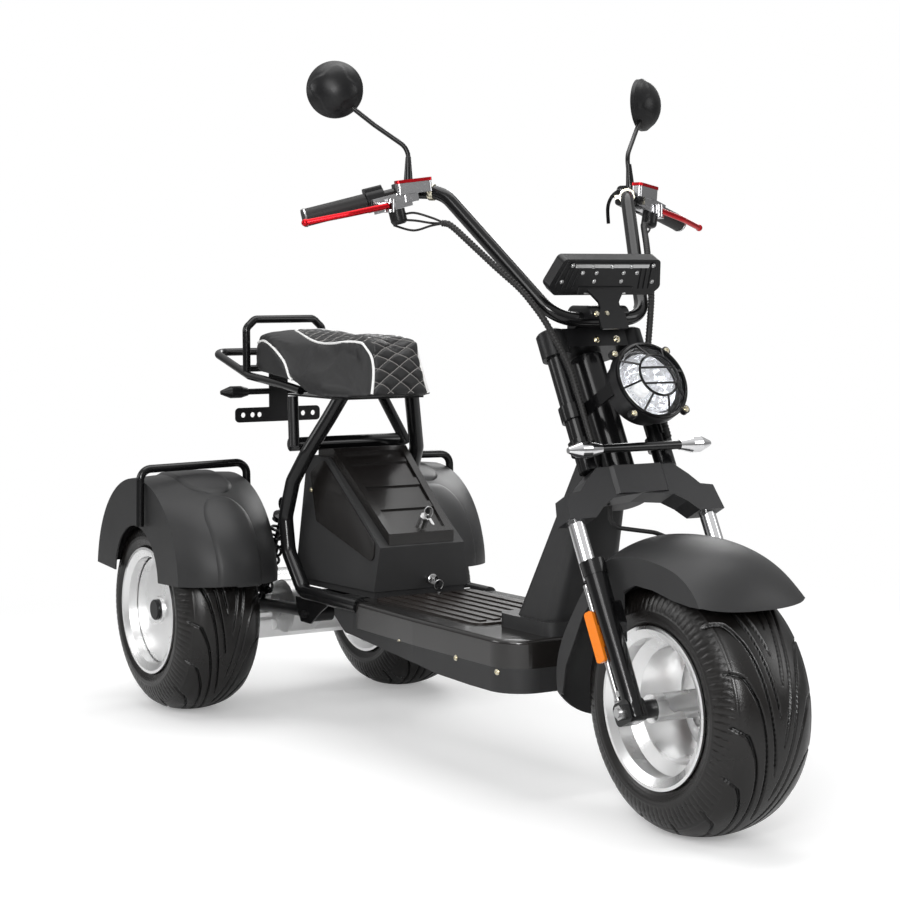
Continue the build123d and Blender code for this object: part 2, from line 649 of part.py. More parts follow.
def cable_looms():
    """Cable sleeves from the handlebar down both risers to the fork tubes."""
    down = LOOM_AHEAD
    right = loom(
        [(WHEELBASE - 509, -268, 1069), (WHEELBASE - 439, -228, 1063),
         (WHEELBASE - 352, -163 - BAR_RADIUS, 977), (WHEELBASE - 339 + BAR_RADIUS, -133 - BAR_RADIUS, 943)],
        [(44, -122, 722), (down, -86, 634), (down, -85, 484)], LOOM_RADIUS)
    left = loom(
        [(WHEELBASE - 509, 268, 1069), (WHEELBASE - 445, 201 + BAR_RADIUS, 1066),
         (WHEELBASE - 397 + BAR_RADIUS, 176, 1027), (WHEELBASE - 311 + BAR_RADIUS, 124, 931)],
        [(48, 104, 700), (down, 86, 634), (down, 85, 484)], LOOM_RADIUS)
    return right + left


# ---- Instruments and lamps ---------------------------------------------------------------------
def display():
    """Wide instrument pod that leans back towards the rider."""
    pod = make_face(Polyline(
        (-124, -22), (-106, 34), (106, 34), (124, -22), (108, -38), (-108, -38), close=True))
    pod = extrude(fillet(pod.vertices(), 10), DISPLAY_DEPTH)
    pod = chamfer(pod.faces().sort_by(Axis.Z)[0].edges(), 3)
    return DISPLAY_PLACE * Pos(0, 0, -DISPLAY_DEPTH / 2) * pod


def headlight_housing():
    """Round bucket with a thin trim ring and four screw ears, square to the fork."""
    bucket = Cylinder(64, 46, align=HUNG)
    bucket += Pos(0, 0, -46) * Cone(40, 60, 24, align=HUNG)
    bucket += Pos(0, 0, -14) * Cylinder(HEADLIGHT_RADIUS, 20, align=BASE)
    for angle in (47, 137, 227, 317):
        ear = Pos(HEADLIGHT_RADIUS + 6, 0, -8) * Cylinder(8, 10, align=BASE)
        ear += Pos(HEADLIGHT_RADIUS, 0, -8) * Box(12, 12, 10, align=BASE)
        ear -= Pos(HEADLIGHT_RADIUS + 6, 0, -8) * Cylinder(3.5, 10, align=BASE)
        bucket += Rot(0, 0, angle) * ear
    bucket -= Pos(0, 0, -9) * Cylinder(LENS_RADIUS + SEAT_GAP, 60, align=BASE)
    bucket -= Pos(0, 0, -40) * Cylinder(58, 60, align=BASE)
    return HEADLIGHT_PLACE * bucket


def headlight_lens():
    """Clear front glass over a reflector bowl."""
    lens = Pos(0, 0, -9 + SEAT_GAP) * Cylinder(LENS_RADIUS, 16, align=BASE)
    lens = chamfer(lens.faces().sort_by(Axis.Z)[-1].edges(), 3)
    return HEADLIGHT_PLACE * lens


def headlight_grille():
    """Domed wire guard in front of the lens, with two bars across its middle."""
    outer_radius = LENS_RADIUS + 4.5
    inner_radius = 39.0
    wire = 2.4
    foot = 6 + SEAT_GAP + wire
    front = foot + 20
    spokes = [
        Rot(0, 0, 45 * index + 12) * rod((outer_radius, 0, foot), (inner_radius, 0, front), 2)
        for index in range(8)]
    reach = sqrt(inner_radius * inner_radius - 15 * 15)
    bars = [rod((-reach, rise, front), (reach, rise, front), 2) for rise in (-15, 15)]
    rings = []
    for radius, height in ((outer_radius, foot), (inner_radius, front)):
        section = Plane.XZ * Pos(radius, height, 0) * RegularPolygon(wire, 8)
        rings.append(revolve(section, Axis.Z, 360))
    guard = rings[0].fuse(*spokes, rings[1], *bars)
    return HEADLIGHT_PLACE * guard


def lamp_bracket():
    """Clamps and arms that hold the headlight and the signal bar on the upper tubes."""
    tube_y = UPPER_TUBE_SPACING / 2
    ring = Pos(0, -tube_y, 538) * Cylinder(UPPER_TUBE_RADIUS + 5, 28, align=BASE)
    ring += Pos(0, -tube_y, 474) * Cylinder(UPPER_TUBE_RADIUS + 5, 24, align=BASE)
    arm = box((0, 110), (-68.5, -64 - SEAT_GAP), (540, 564))
    stay = rod((SIGNAL_X - 45, -80, SIGNAL_Z), (SIGNAL_X, -68, SIGNAL_Z), 6)
    bracket = FORK * (ring + arm) + stay
    bracket -= FORK * (Pos(0, -tube_y, 460) * Cylinder(UPPER_TUBE_RADIUS + SEAT_GAP, 400))
    return both_sides(bracket) + across(SIGNAL_X, SIGNAL_Z, -SIGNAL_BAR, SIGNAL_BAR, 8)


def front_signals():
    """Bullet lamps at the ends of the cross bar."""
    stations = (SIGNAL_BAR + 0.2, SIGNAL_BAR + 26, SIGNAL_BAR + 46, SIGNAL_BAR + 70)
    root, shoulder, brow, tip = [(SIGNAL_X, -y, SIGNAL_Z) for y in stations]
    lamp = taper(root, shoulder, 9, 15) + rod(shoulder, brow, 15) + taper(brow, tip, 15, 5)
    return both_sides(lamp)


# ---- Fenders -----------------------------------------------------------------------------------
def front_fender():
    """Domed shell over the front tyre with flat sides, a level front lip and a round tail."""
    grow = FENDER_HALF_WIDTH / FENDER_STATIONS[0][1]
    stations = [(angle, half * grow, edge, crown, edge) for angle, half, edge, crown in FENDER_STATIONS]
    shell = domed_form(FENDER_CENTRE, 0, stations, 0, 150)
    shell -= domed_form(FENDER_CENTRE, 0, stations, FENDER_WALL, 140)
    side_z, middle_z = FENDER_TAIL_Z
    below = side_profile(FENDER_HEM, 300)
    below -= box((WHEELBASE - 510, WHEELBASE - 238), (-400, 400), (-10, 500))
    shell -= below
    half = FENDER_HALF_WIDTH + 2
    arc = ThreePointArc((-half, side_z), (0, middle_z), (half, side_z))
    under = Polyline((half, side_z), (half, 0), (-half, 0), (-half, side_z))
    below_tail = make_face(Wire([*arc.edges(), *under.edges()]))
    tail = Pos(WHEELBASE - 410, 0, 0) * extrude(Plane.YZ * below_tail, 500)
    return shell - tail


def rear_fender_form(side, inset, low):
    """Solid under the domed skin of one rear fender."""
    half = (REAR_FENDER_OUTER - REAR_FENDER_INNER) / 2
    middle = side * (REAR_FENDER_OUTER + REAR_FENDER_INNER) / 2
    stations = []
    for angle, outer_r, crest_r, inner_r in REAR_FENDER_STATIONS:
        first, last = (outer_r, inner_r) if side < 0 else (inner_r, outer_r)
        stations.append((angle, half, first, crest_r, last))
    return domed_form(REAR_FENDER_CENTRE, middle, stations, inset, low)


def rear_fenders():
    """Domed arches over the rear wheels."""
    arch = rear_fender_form(-1, 0, 120) - rear_fender_form(-1, FENDER_WALL, 100)
    return both_sides(arch)


def fender_rails():
    """Tubular hoops from the axle carrier over the rear fenders to their outer sides."""
    y_out = REAR_FENDER_OUTER + FENDER_RAIL_RADIUS + SEAT_GAP
    points = [
        (RAIL_X, -y_out - 3, 424), (RAIL_X, -y_out, FENDER_RAIL_TOP - 5),
        (RAIL_X, -FENDER_RAIL_INNER, FENDER_RAIL_TOP), (RAIL_X, -FENDER_RAIL_INNER, FENDER_RAIL_FOOT)]
    return both_sides(bent(points, FENDER_RAIL_RADIUS, 26))


# ---- Footboard and column ----------------------------------------------------------------------
def deck_outline(inset, tail):
    """Plan of the footboard: rounded at the front, with a narrower tail under the battery box."""
    half = DECK_HALF_WIDTH - inset
    front = DECK_FRONT - inset
    tail_half = DECK_TAIL_HALF_WIDTH - inset
    outline = make_face(Polyline(
        (tail, -tail_half), (DECK_REAR, -tail_half), (DECK_REAR, -half + 8), (DECK_REAR + 240, -half),
        (front, -half), (front, half), (DECK_REAR + 240, half), (DECK_REAR, half - 8),
        (DECK_REAR, tail_half), (tail, tail_half), close=True))
    return fillet(outline.vertices().group_by(Axis.X)[-1], DECK_CORNER - inset)


def skirt_outline(inset, tail):
    """Plan of the side band, which runs back under the side rails."""
    half = DECK_HALF_WIDTH - inset
    front = DECK_FRONT - inset
    rail_half = SIDE_RAIL_Y + 1.5 - inset
    outline = make_face(Polyline(
        (tail, -rail_half), (DECK_REAR - 30, -rail_half), (DECK_REAR + 240, -half), (front, -half),
        (front, half), (DECK_REAR + 240, half), (DECK_REAR - 30, rail_half), (tail, rail_half), close=True))
    return fillet(outline.vertices().group_by(Axis.X)[-1], DECK_CORNER - inset)


def deck_skirt():
    """Lower side band of the footboard, open at the rear and below."""
    height = SIDE_RAIL_Z - RAIL_RADIUS - SKIRT_BOTTOM
    band = extrude(skirt_outline(0, SKIRT_REAR), height)
    band -= extrude(skirt_outline(PANEL_WALL, SKIRT_REAR - 50), height)
    side = side_profile([
        (SKIRT_REAR - 20, 300), (SKIRT_REAR - 4, 266), (SKIRT_REAR + 46, 234), (850, 217), (930, 209),
        (1050, SKIRT_BOTTOM), (DECK_FRONT + 20, SKIRT_BOTTOM), (DECK_FRONT + 20, DECK_SPLIT),
        (DECK_REAR, DECK_SPLIT), (DECK_REAR, 300)], 300)
    return Pos(0, 0, SKIRT_BOTTOM) * band & side


def deck_moulding():
    """Glossy footboard moulding with a rounded shoulder above the skirt, open below."""
    height = DECK_TOP - DECK_SPLIT
    shell = extrude(deck_outline(0, DECK_TAIL), height)
    rim = shell.faces().sort_by(Axis.Z)[-1].edges().filter_by(lambda edge: edge.center().X > DECK_REAR + 20)
    shell = fillet(rim, DECK_SHOULDER)
    shell -= extrude(deck_outline(PANEL_WALL, DECK_TAIL - 20), height - PANEL_WALL)
    return Pos(0, 0, DECK_SPLIT) * shell - column_strut(STRUT_RADIUS + SEAT_GAP)


def deck_mat():
    """Ribbed rubber mat on the footboard."""
    mat = Pos(MAT_X, 0, DECK_TOP) * extrude(RectangleRounded(404, 244, 24), MAT_THICKNESS)
    for index in range(7):
        rib_y = (index - 3) * 32
        mat += Pos(MAT_X, rib_y, DECK_TOP + MAT_THICKNESS) * Box(364, 16, 3, align=BASE)
    return mat


def column_section(z, rear, front, half, corner):
    """Plan section of the column cover at one height."""
    outline = make_face(Polyline((rear, -half), (front, -half), (front, half), (rear, half), close=True))
    return Pos(0, 0, z) * fillet(outline.vertices(), corner)


def column_strut(radius):
    """Round member from the rails to the head tube."""
    return rod((COLUMN_X, 0, FRAME_Z), fork_point(-FORK_OFFSET - 12, 0, 502), radius)


def column_cover():
    """Tapered cover with a stepped foot that rises forward from the footboard to the head tube."""
    wall = 4
    foot_rear, foot_front = COLUMN_X - 56, COLUMN_X + 72
    top_rear, top_front = COLUMN_X + 118, COLUMN_X + 166
    outer = loft([
        column_section(COLUMN_FOOT, foot_rear, foot_front, 74, 26),
        column_section(COLUMN_TOP, top_rear, top_front, 44, 14)])
    inner = loft([
        column_section(COLUMN_FOOT, foot_rear + wall, foot_front - wall, 74 - wall, 22),
        column_section(COLUMN_TOP, top_rear + wall, top_front - wall, 44 - wall, 10)])
    step_rear, step_front = COLUMN_X - 97, COLUMN_X + 80
    foot = make_face(Polyline(
        (step_rear, -86), (step_front, -86), (step_front, 86), (step_rear, 86), close=True))
    foot = Pos(0, 0, DECK_TOP) * extrude(fillet(foot.vertices(), 26), COLUMN_FOOT - DECK_TOP)
    hollow = column_section(0, foot_rear + wall, foot_front - wall, 74 - wall, 22)
    foot -= Pos(0, 0, DECK_TOP) * extrude(hollow, COLUMN_FOOT - DECK_TOP)
    cover = outer - inner + foot
    cover -= FORK * (Pos(-FORK_OFFSET, 0, 560) * Cylinder(HEAD_TUBE_RADIUS + SEAT_GAP, 300))
    return cover - column_strut(STRUT_RADIUS + SEAT_GAP)


# ---- Frame -------------------------------------------------------------------------------------
def under_frame():
    """Backbone: two rails, their cross members, the column strut and the head tube."""
    rail = rod((384, -100, FRAME_Z), (COLUMN_X + 10, -100, FRAME_Z), RAIL_RADIUS)
    frame = both_sides(rail)
    for x in (700, 900, COLUMN_X):
        frame += across(x, FRAME_Z, -100, 100, CROSS_RADIUS)
    rail_face = SIDE_RAIL_Y - HOOP_RADIUS
    for x in (390, 540):
        frame += across(x, BOX_FLOOR - CROSS_RADIUS, -rail_face, rail_face, CROSS_RADIUS)
    skirt_face = DECK_HALF_WIDTH - PANEL_WALL - 9
    for x in (640, COLUMN_X - 20):
        frame += across(x, FRAME_Z, -skirt_face, skirt_face, 8)
    low = YOKE_TOP + 4
    high = TOP_CLAMP_BOTTOM - 4
    tube = Pos(-FORK_OFFSET, 0, low) * Cylinder(
        HEAD_TUBE_RADIUS, high - low, align=BASE)
    bore = Pos(-FORK_OFFSET, 0, low - 20) * Cylinder(
        STEM_RADIUS + RUN_GAP, high - low + 40, align=BASE)
    return frame + column_strut(STRUT_RADIUS) + FORK * tube - FORK * bore


def seat_frame():
    """Side rails that bend up into the seat hoops, with posts, crossbar, seat plate and lugs."""
    frame = both_sides(bent(HOOP_POINTS, HOOP_RADIUS, 40))
    frame += both_sides(rod((279, -141, 601), (214, -110, 716), 12))
    frame += across(262, 608, -142, 142, 15)
    frame += both_sides(rod((264, -152, SHOCK_MOUNT[1]), (SHOCK_MOUNT[0], -112, SHOCK_MOUNT[1]), 9))
    lug = side_profile([(318, 284), (470, 284), (430, 262), (386, 232), (342, 232), (322, 262)], 1)
    plate = extrude(lug.faces().sort_by(Axis.Y)[0], 4)
    frame += both_sides(Pos(0, -157, 0) * plate)
    frame -= across(PIVOT[0], PIVOT[1], -200, 200, 8 + SEAT_GAP)
    frame -= box((0, 600), (-300, 300), (PAN_Z, 800))
    return frame + box((170, 424), (-100, 100), (PAN_Z, PAN_Z + 4))


# ---- Battery box -------------------------------------------------------------------------------
def box_form(inset):
    """Tapered block of the battery box, before the lid slope is cut."""
    low = make_face(Polyline(
        (262 + inset, -134 + inset), (578 - inset, -116 + inset), (578 - inset, 116 - inset),
        (262 + inset, 134 - inset), close=True))
    high = make_face(Polyline(
        (268 + inset, -100 + inset), (596 - inset, -74 + inset), (596 - inset, 74 - inset),
        (268 + inset, 100 - inset), close=True))
    return loft([Pos(0, 0, BOX_FLOOR + inset) * low, Pos(0, 0, BOX_TOP + 20) * high])


def above_lid(offset):
    """Space above the sloping lid plane, moved up by an offset."""
    return side_profile([
        (LID_LOW[0] + 60, LID_LOW[1] - 45 + offset), (LID_HIGH[0], LID_HIGH[1] + offset),
        (200, LID_HIGH[1] + offset), (200, 900), (800, 900), (800, LID_LOW[1] - 45 + offset)], 300)


def lid_plan(front_half, rear_half, front, rear):
    """Tapered plan of the lid or of the opening below it."""
    return make_face(Polyline(
        (rear, -rear_half), (front, -front_half), (front, front_half), (rear, rear_half), close=True))


def lid_recess(low_half, high_half, start, end, depth):
    """Space above a plane sunk into the lid, between two distances up its slope."""
    slope = Vector(LID_HIGH[0] - LID_LOW[0], 0, LID_HIGH[1] - LID_LOW[1]).normalized()
    normal = Vector(-slope.Z, 0, slope.X) * -1
    origin = Vector(LID_LOW[0], 0, LID_LOW[1] + 26)
    place = Plane(origin=origin, x_dir=Vector(0, 1, 0), z_dir=normal)
    if place.y_dir.X > 0:
        place = Plane(origin=origin, x_dir=Vector(0, -1, 0), z_dir=normal)
    span = 280
    low = low_half + (high_half - low_half) * start / span
    high = low_half + (high_half - low_half) * end / span
    outline = make_face(Polyline((-low, start), (low, start), (high, end), (-high, end), close=True))
    return place * Pos(0, 0, depth) * extrude(outline, 40)


def battery_box():
    """Hollow box with a dark plinth, a sloping front deck and a loading opening under the lid."""
    outer = box_form(0) - above_lid(0)
    around = box((200, 700), (-200, 200), (BOX_FLOOR, BOX_FLOOR + PLINTH_HEIGHT))
    outer -= around - Pos(0, 0, -PLINTH_STEP) * box_form(PLINTH_STEP)
    inner = box_form(BOX_WALL + PLINTH_STEP) - above_lid(-BOX_WALL - 1)
    opening = Pos(0, 0, 380) * extrude(lid_plan(62, 74, 552, 372), 300)
    return outer - inner - opening


def side_panels():
    """Raised glossy panels on the upper sides of the box."""
    outline = make_face(Polyline(*PANEL_OUTLINE, close=True))
    outline = fillet(outline.vertices(), 12)
    prism = extrude(Plane.XZ * outline, 300)
    skin = box_form(-3.5) - box_form(-SEAT_GAP)
    return both_sides(skin & prism)


def box_lock():
    """Key cylinder on the front of the battery box."""
    return rod((570, 20, 338), (592, 20, 338), 10) - box_form(-SEAT_GAP)


def battery_lid():
    """Lid on the sloping front of the box: a raised border round a stepped panel,
    hinged at its upper edge."""
    slab = side_profile([
        (LID_LOW[0] - 2, LID_LOW[1] + 2), (LID_HIGH[0], LID_HIGH[1] + 0.5), (LID_REAR, LID_HIGH[1] + 0.5),
        (LID_REAR, LID_HIGH[1] + 16), (LID_HIGH[0] + 10, LID_HIGH[1] + 20),
        (LID_LOW[0] - 2, LID_LOW[1] + 26)], 120)
    slab &= extrude(lid_plan(78, 94, LID_LOW[0], LID_REAR), 900)
    slab -= lid_recess(62, 75, 14, 262, -6)
    for start, end in ((78, 96), (150, 172), (226, 240)):
        step = lid_recess(62.2, 75.2, start, end, -6.2) - lid_recess(90, 90, start - 5, end + 5, -2)
        slab += step
    return slab


def lid_lock():
    """Key cylinder near the lower edge of the lid."""
    place = Plane(origin=(545, 20, 445), z_dir=(171, 0, 230))
    return place * Cylinder(10, 28, align=BASE) & lid_recess(90, 90, -20, 200, SEAT_GAP - 6)


def battery_pack():
    """Closed battery module inside the box."""
    return box((300, 520), (-70, 70), (BOX_FLOOR + BOX_WALL + PLINTH_STEP, PACK_TOP))


# ---- Seat and rear carrier ---------------------------------------------------------------------
def seat_cushion():
    """Plain solid of the padded saddle."""
    side = make_face(Polyline(
        (-58, 772), (10, 760), (150, 752), (232, 742), (300, 716), (359, 714.3), (440, 714.3), (505, 722),
        (530, 770), (516, 838), (420, 838), (300, 815), (180, 822), (80, 846), (10, 846),
        (-40, 826), close=True))
    body = extrude(Plane.XZ * side, 130, both=True)
    plan = make_face(Polyline(
        (-58, -52), (-44, -76), (-20, -86), (40, -104), (120, -120), (360, -120), (470, -92), (530, -66),
        (530, 66), (470, 92), (360, 120), (120, 120), (40, 104), (-20, 86), (-44, 76),
        (-58, 52), close=True))
    body &= extrude(plan, 1000)
    return body


def rear_rack():
    """Loop behind the seat with the upright grab rail and the bracket's cross tube."""
    front_z = PAN_Z + 4 + 9 + SEAT_GAP
    half = [(-221, -92, 796), (-20, -100, 747), (150, -100, 733), (236, -100, front_z)]
    loop = bent([*reversed(half), *[(x, -y, z) for x, y, z in half]], 9, 30)
    rail = bent([(-38, -98, 752), (-38, -98, 856), (-38, -76, 876), (-38, 76, 876), (-38, 98, 856),
                 (-38, 98, 752)], 9, 16)
    return loop + rail + across(-70, 762, -100, 100, 8)


def plate_bracket():
    """Slotted bar behind the seat for the number plate, on a folded stay."""
    bar = fillet(box((-74, -70), (-112, 108), (637, 671)).edges().filter_by(Axis.X), 10)
    for y in (-92, -68, -50, 46, 64, 90):
        bar -= Pos(-72, y, 654) * Rot(0, 90, 0) * Cylinder(6, 10)
    return bar + box((-74, -70), (-24, 24), (660, 753.8))


def rear_signals():
    """Bullet lamps beside the plate bracket."""
    lamp = rod((-72, -24.2, 708), (-72, -80, 708), 7)
    lamp += taper((-72, -80, 708), (-72, -98, 708), 9, 14) + rod((-72, -98, 708), (-72, -124, 708), 14)
    lamp += taper((-72, -124, 708), (-72, -148, 708), 14, 5)
    return both_sides(lamp)


# ---- Rear axle and suspension ------------------------------------------------------------------
def axle_housing():
    """Drive unit: axle tubes, differential case, motor and the cross beam below."""
    tube = across(0, TYRE_RADIUS, -HOUSING_END, HOUSING_END, HOUSING_TUBE_RADIUS)
    case = across(0, TYRE_RADIUS, -70, 70, 72)
    drive = across(104, TYRE_RADIUS, -84, 84, 60)
    beam = box((-22, 22), (-152, 152), (146, 186))
    lugs = both_sides(box((-18, 18), (-150, -138), (180, 226)))
    bore = across(0, TYRE_RADIUS, -HOUSING_END, -56, SHAFT_RADIUS + RUN_GAP)
    housing = tube + case + drive + beam + lugs
    return housing - both_sides(bore)


def swing_arm(gap):
    """One trailing arm, on the right."""
    return rod((PIVOT[0], -ARM_Y, PIVOT[1]), (20, -ARM_Y, TYRE_RADIUS), ARM_RADIUS + gap)


def swing_arms():
    """Arms from the frame pivot to the axle tubes, with the stubs that carry the fender rails."""
    arm = swing_arm(0)
    arm += across(PIVOT[0], PIVOT[1], -152, -100, 18)
    arm += across(0, TYRE_RADIUS, -135, -108, HOUSING_TUBE_RADIUS + 7)
    arm += rod((30, -ARM_Y, TYRE_RADIUS + 10), (RAIL_X, -FENDER_RAIL_INNER, FENDER_RAIL_FOOT + 10), 9)
    arm -= across(0, TYRE_RADIUS, -200, -80, HOUSING_TUBE_RADIUS + SEAT_GAP)
    above_stub = Cylinder(30, 60, align=BASE)
    arm -= Pos(RAIL_X, -FENDER_RAIL_INNER, FENDER_RAIL_FOOT - SEAT_GAP) * above_stub
    return both_sides(arm) + across(PIVOT[0], PIVOT[1], -168, 168, 8)


def shock_absorbers():
    """Spring and damper units between the swing arms and the frame."""
    low = Vector(70, -ARM_Y, 240)
    high = Vector(SHOCK_MOUNT[0], -ARM_Y, SHOCK_MOUNT[1])
    along = (high - low).normalized()
    unit = rod(low, high + along * 8, 9)
    unit += rod(low + along * 34, high - along * 30, SHOCK_SPRING_RADIUS)
    unit += rod((SHOCK_MOUNT[0], -132, SHOCK_MOUNT[1]), (SHOCK_MOUNT[0], -114, SHOCK_MOUNT[1]), 15)
    unit -= swing_arm(SEAT_GAP)
    unit -= rod((264, -152, SHOCK_MOUNT[1]), (SHOCK_MOUNT[0] - 24, -98, SHOCK_MOUNT[1]), 9 + SEAT_GAP)
    return both_sides(unit)


# ---- Assembly ----------------------------------------------------------------------------------
def assemble():
    """All sub-parts by name, still measured from below the rear axle."""
    parts = {}
    parts.update(front_wheel())
    parts.update(rear_wheel(-1, "right"))
    parts.update(rear_wheel(1, "left"))
    makers = [
        stanchions, fork_legs, front_axle, reflector_rods, reflectors, lower_yoke, upper_tubes, top_clamp,
        handlebar, riser_block, grips, control_housings, master_cylinders, reservoir_caps, levers,
        mirror_stems, mirror_heads, display, headlight_housing, headlight_lens, headlight_grille,
        lamp_bracket, front_signals, front_fender, cable_looms, brake_hose, front_caliper,
        under_frame, seat_frame, deck_skirt, deck_moulding, deck_mat, column_cover, battery_box,
        battery_lid, side_panels, box_lock, lid_lock, battery_pack, seat_cushion, rear_rack,
        plate_bracket, rear_signals, rear_fenders, fender_rails, axle_housing, swing_arms,
        shock_absorbers,
    ]
    for maker in makers:
        parts[maker.__name__] = maker()
    return parts


def main():
    """Write one STEP file per sub-part, in the finished frame."""
    os.makedirs("parts", exist_ok=True)
    parts = assemble()
    boxes = [shape.bounding_box() for shape in parts.values()]
    middle = (min(b.min.X for b in boxes) + max(b.max.X for b in boxes)) / 2
    print(f"rear axle at x = {-middle:.4f} mm")
    for name, shape in parts.items():
        export_step(Pos(-middle, 0, 0) * shape, f"parts/{name}.step")


main()
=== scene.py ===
import cmath
from math import cos, pi, radians, sin, sqrt

import bmesh
import bpy
import numpy as np
from mathutils import Matrix, Vector
from mathutils.bvhtree import BVHTree
from mathutils.kdtree import KDTree


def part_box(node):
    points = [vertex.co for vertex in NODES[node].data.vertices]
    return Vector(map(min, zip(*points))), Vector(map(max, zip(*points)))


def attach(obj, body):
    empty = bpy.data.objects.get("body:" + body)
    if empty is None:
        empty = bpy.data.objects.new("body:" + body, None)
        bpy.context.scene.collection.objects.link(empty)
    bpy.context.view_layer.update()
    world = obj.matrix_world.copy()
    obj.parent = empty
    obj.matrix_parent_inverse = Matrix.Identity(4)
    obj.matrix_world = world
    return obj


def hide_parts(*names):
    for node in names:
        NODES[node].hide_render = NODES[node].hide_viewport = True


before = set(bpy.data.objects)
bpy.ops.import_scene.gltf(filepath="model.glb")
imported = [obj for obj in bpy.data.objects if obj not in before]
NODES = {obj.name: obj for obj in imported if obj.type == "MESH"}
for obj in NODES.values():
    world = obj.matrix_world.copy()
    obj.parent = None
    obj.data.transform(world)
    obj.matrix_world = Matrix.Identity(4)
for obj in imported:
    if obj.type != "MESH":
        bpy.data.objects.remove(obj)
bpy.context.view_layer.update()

# ---- Shared places, in millimetres from the ground below the rear axle ----
WHEELBASE = 1510.0
HALF_TRACK = 275.0
WHEEL_Z = 229.5
RAKE = radians(27.2)
FORK_X = Vector((cos(RAKE), 0, sin(RAKE)))
FORK_UP = Vector((-sin(RAKE), 0, cos(RAKE)))
UP = Vector((0, 0, 1))
BAR_END = Vector((893, -432, 1076))
BAR_INNER = Vector((962, -250, 1125))
MIRROR_CENTRE = Vector((874, -356, 1315))
MIRROR_AHEAD = Vector((0.85, -0.52, 0.04)).normalized()
HEADLIGHT = (1373, 0, 779.5)
LOOM_AHEAD = 30.75
SHOCK_FOOT = Vector((70, -122, 240))
SHOCK_HEAD = Vector((196, -122, 472))
WHITE = (1, 1, 1, 1)
AXLE_X = sum(corner.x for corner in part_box("rear_right_tyre")) / 2


def at(x, y, z):
    """A point in metres in the frame, from millimetres measured below the rear axle."""
    return Vector((AXLE_X + x / 1000, y / 1000, z / 1000))


def fork(ahead, y, up):
    """A point given along the fork, in millimetres from the front axle."""
    return Vector((WHEELBASE, 0, WHEEL_Z)) + FORK_X * ahead + Vector((0, y, 0)) + FORK_UP * up


def place(origin, z_dir, x_dir=None):
    """Local frame, in millimetres, from an origin and its Z and X directions."""
    z_axis = Vector(z_dir).normalized()
    guess = Vector(x_dir) if x_dir is not None else (Vector((1, 0, 0)) if abs(z_axis.x) < 0.9 else UP)
    x_axis = (guess - z_axis * guess.dot(z_axis)).normalized()
    y_axis = z_axis.cross(x_axis)
    turn = Matrix((x_axis, y_axis, z_axis)).transposed().to_4x4()
    return Matrix.Translation(Vector(origin)) @ turn


def bar_place(distance):
    """Frame on the right outer run of the bar: X outboard, Y ahead, Z up."""
    along = (BAR_END - BAR_INNER).normalized()
    ahead = UP.cross(along).normalized()
    return place(BAR_END - along * distance, along.cross(ahead), along)


def polar(radius, angle, height):
    """A point from its radius, its angle and its height."""
    return Vector((radius * cos(angle), radius * sin(angle), height))


def angles(count):
    """Equal steps once around."""
    return [2 * pi * index / count for index in range(count)]


def oval(wide, tall, count):
    """Plan of an ellipse, or of a hexagon where it has six points."""
    return [(wide * cos(angle), tall * sin(angle)) for angle in angles(count)]


def add_object(name, data):
    """A new object in the scene."""
    thing = bpy.data.objects.new(name, data)
    bpy.context.scene.collection.objects.link(thing)
    return thing


# ---- Camera ----
def make_camera():
    """Camera at the reference view: from ahead and the right, at chest height, with a long lens."""
    data = bpy.data.cameras.new("camera")
    data.sensor_width = 36.0
    data.lens = 85.65
    data.clip_end = 60.0
    cam = add_object("camera", data)
    yaw, pitch, roll = radians(148.536), radians(-4.351), radians(-0.273)
    ahead = Vector((cos(yaw) * cos(pitch), sin(yaw) * cos(pitch), sin(pitch)))
    right = Vector((sin(yaw), -cos(yaw), 0))
    up = right.cross(ahead)
    side = right * cos(roll) + up * sin(roll)
    top = up * cos(roll) - right * sin(roll)
    turn = Matrix((side, top, -ahead)).transposed()
    cam.matrix_world = Matrix.Translation(at(4409, -2272, 948)) @ turn.to_4x4()
    bpy.context.scene.camera = cam


# ---- Node helpers ----
class Tree:
    """Short calls for building one node tree."""

    def __init__(self, owner):
        owner.use_nodes = True
        self.nodes = owner.node_tree.nodes
        self.links = owner.node_tree.links
        self.nodes.clear()

    def node(self, kind, **settings):
        """A node with its attributes set, and its inputs set or linked, by name."""
        made = self.nodes.new(kind)
        for key, value in settings.items():
            if hasattr(made, key):
                setattr(made, key, value)
            elif isinstance(value, bpy.types.NodeSocket):
                self.link(value, made.inputs[key])
            else:
                made.inputs[key.replace("_", " ")].default_value = value
        return made

    def link(self, source, target):
        """A link between two sockets."""
        self.links.new(source, target)

    def seen(self):
        """1 where the camera looks at the surface, directly or through glass, else 0."""
        path = self.node("ShaderNodeLightPath")
        either = self.node("ShaderNodeMath", operation="MAXIMUM")
        self.link(path.outputs["Is Camera Ray"], either.inputs[0])
        self.link(path.outputs["Is Transmission Ray"], either.inputs[1])
        return either.outputs[0]

    def mix(self, factor, first, second):
        """A shader mixed from two others."""
        mixer = self.node("ShaderNodeMixShader", Fac=factor)
        self.link(first, mixer.inputs[1])
        self.link(second, mixer.inputs[2])
        return mixer.outputs[0]

    def ramp(self, value, low, high, start, end):
        """A value turned from one range into another, clamped."""
        return self.node("ShaderNodeMapRange", Value=value, From_Min=low, From_Max=high,
                         To_Min=start, To_Max=end).outputs[0]


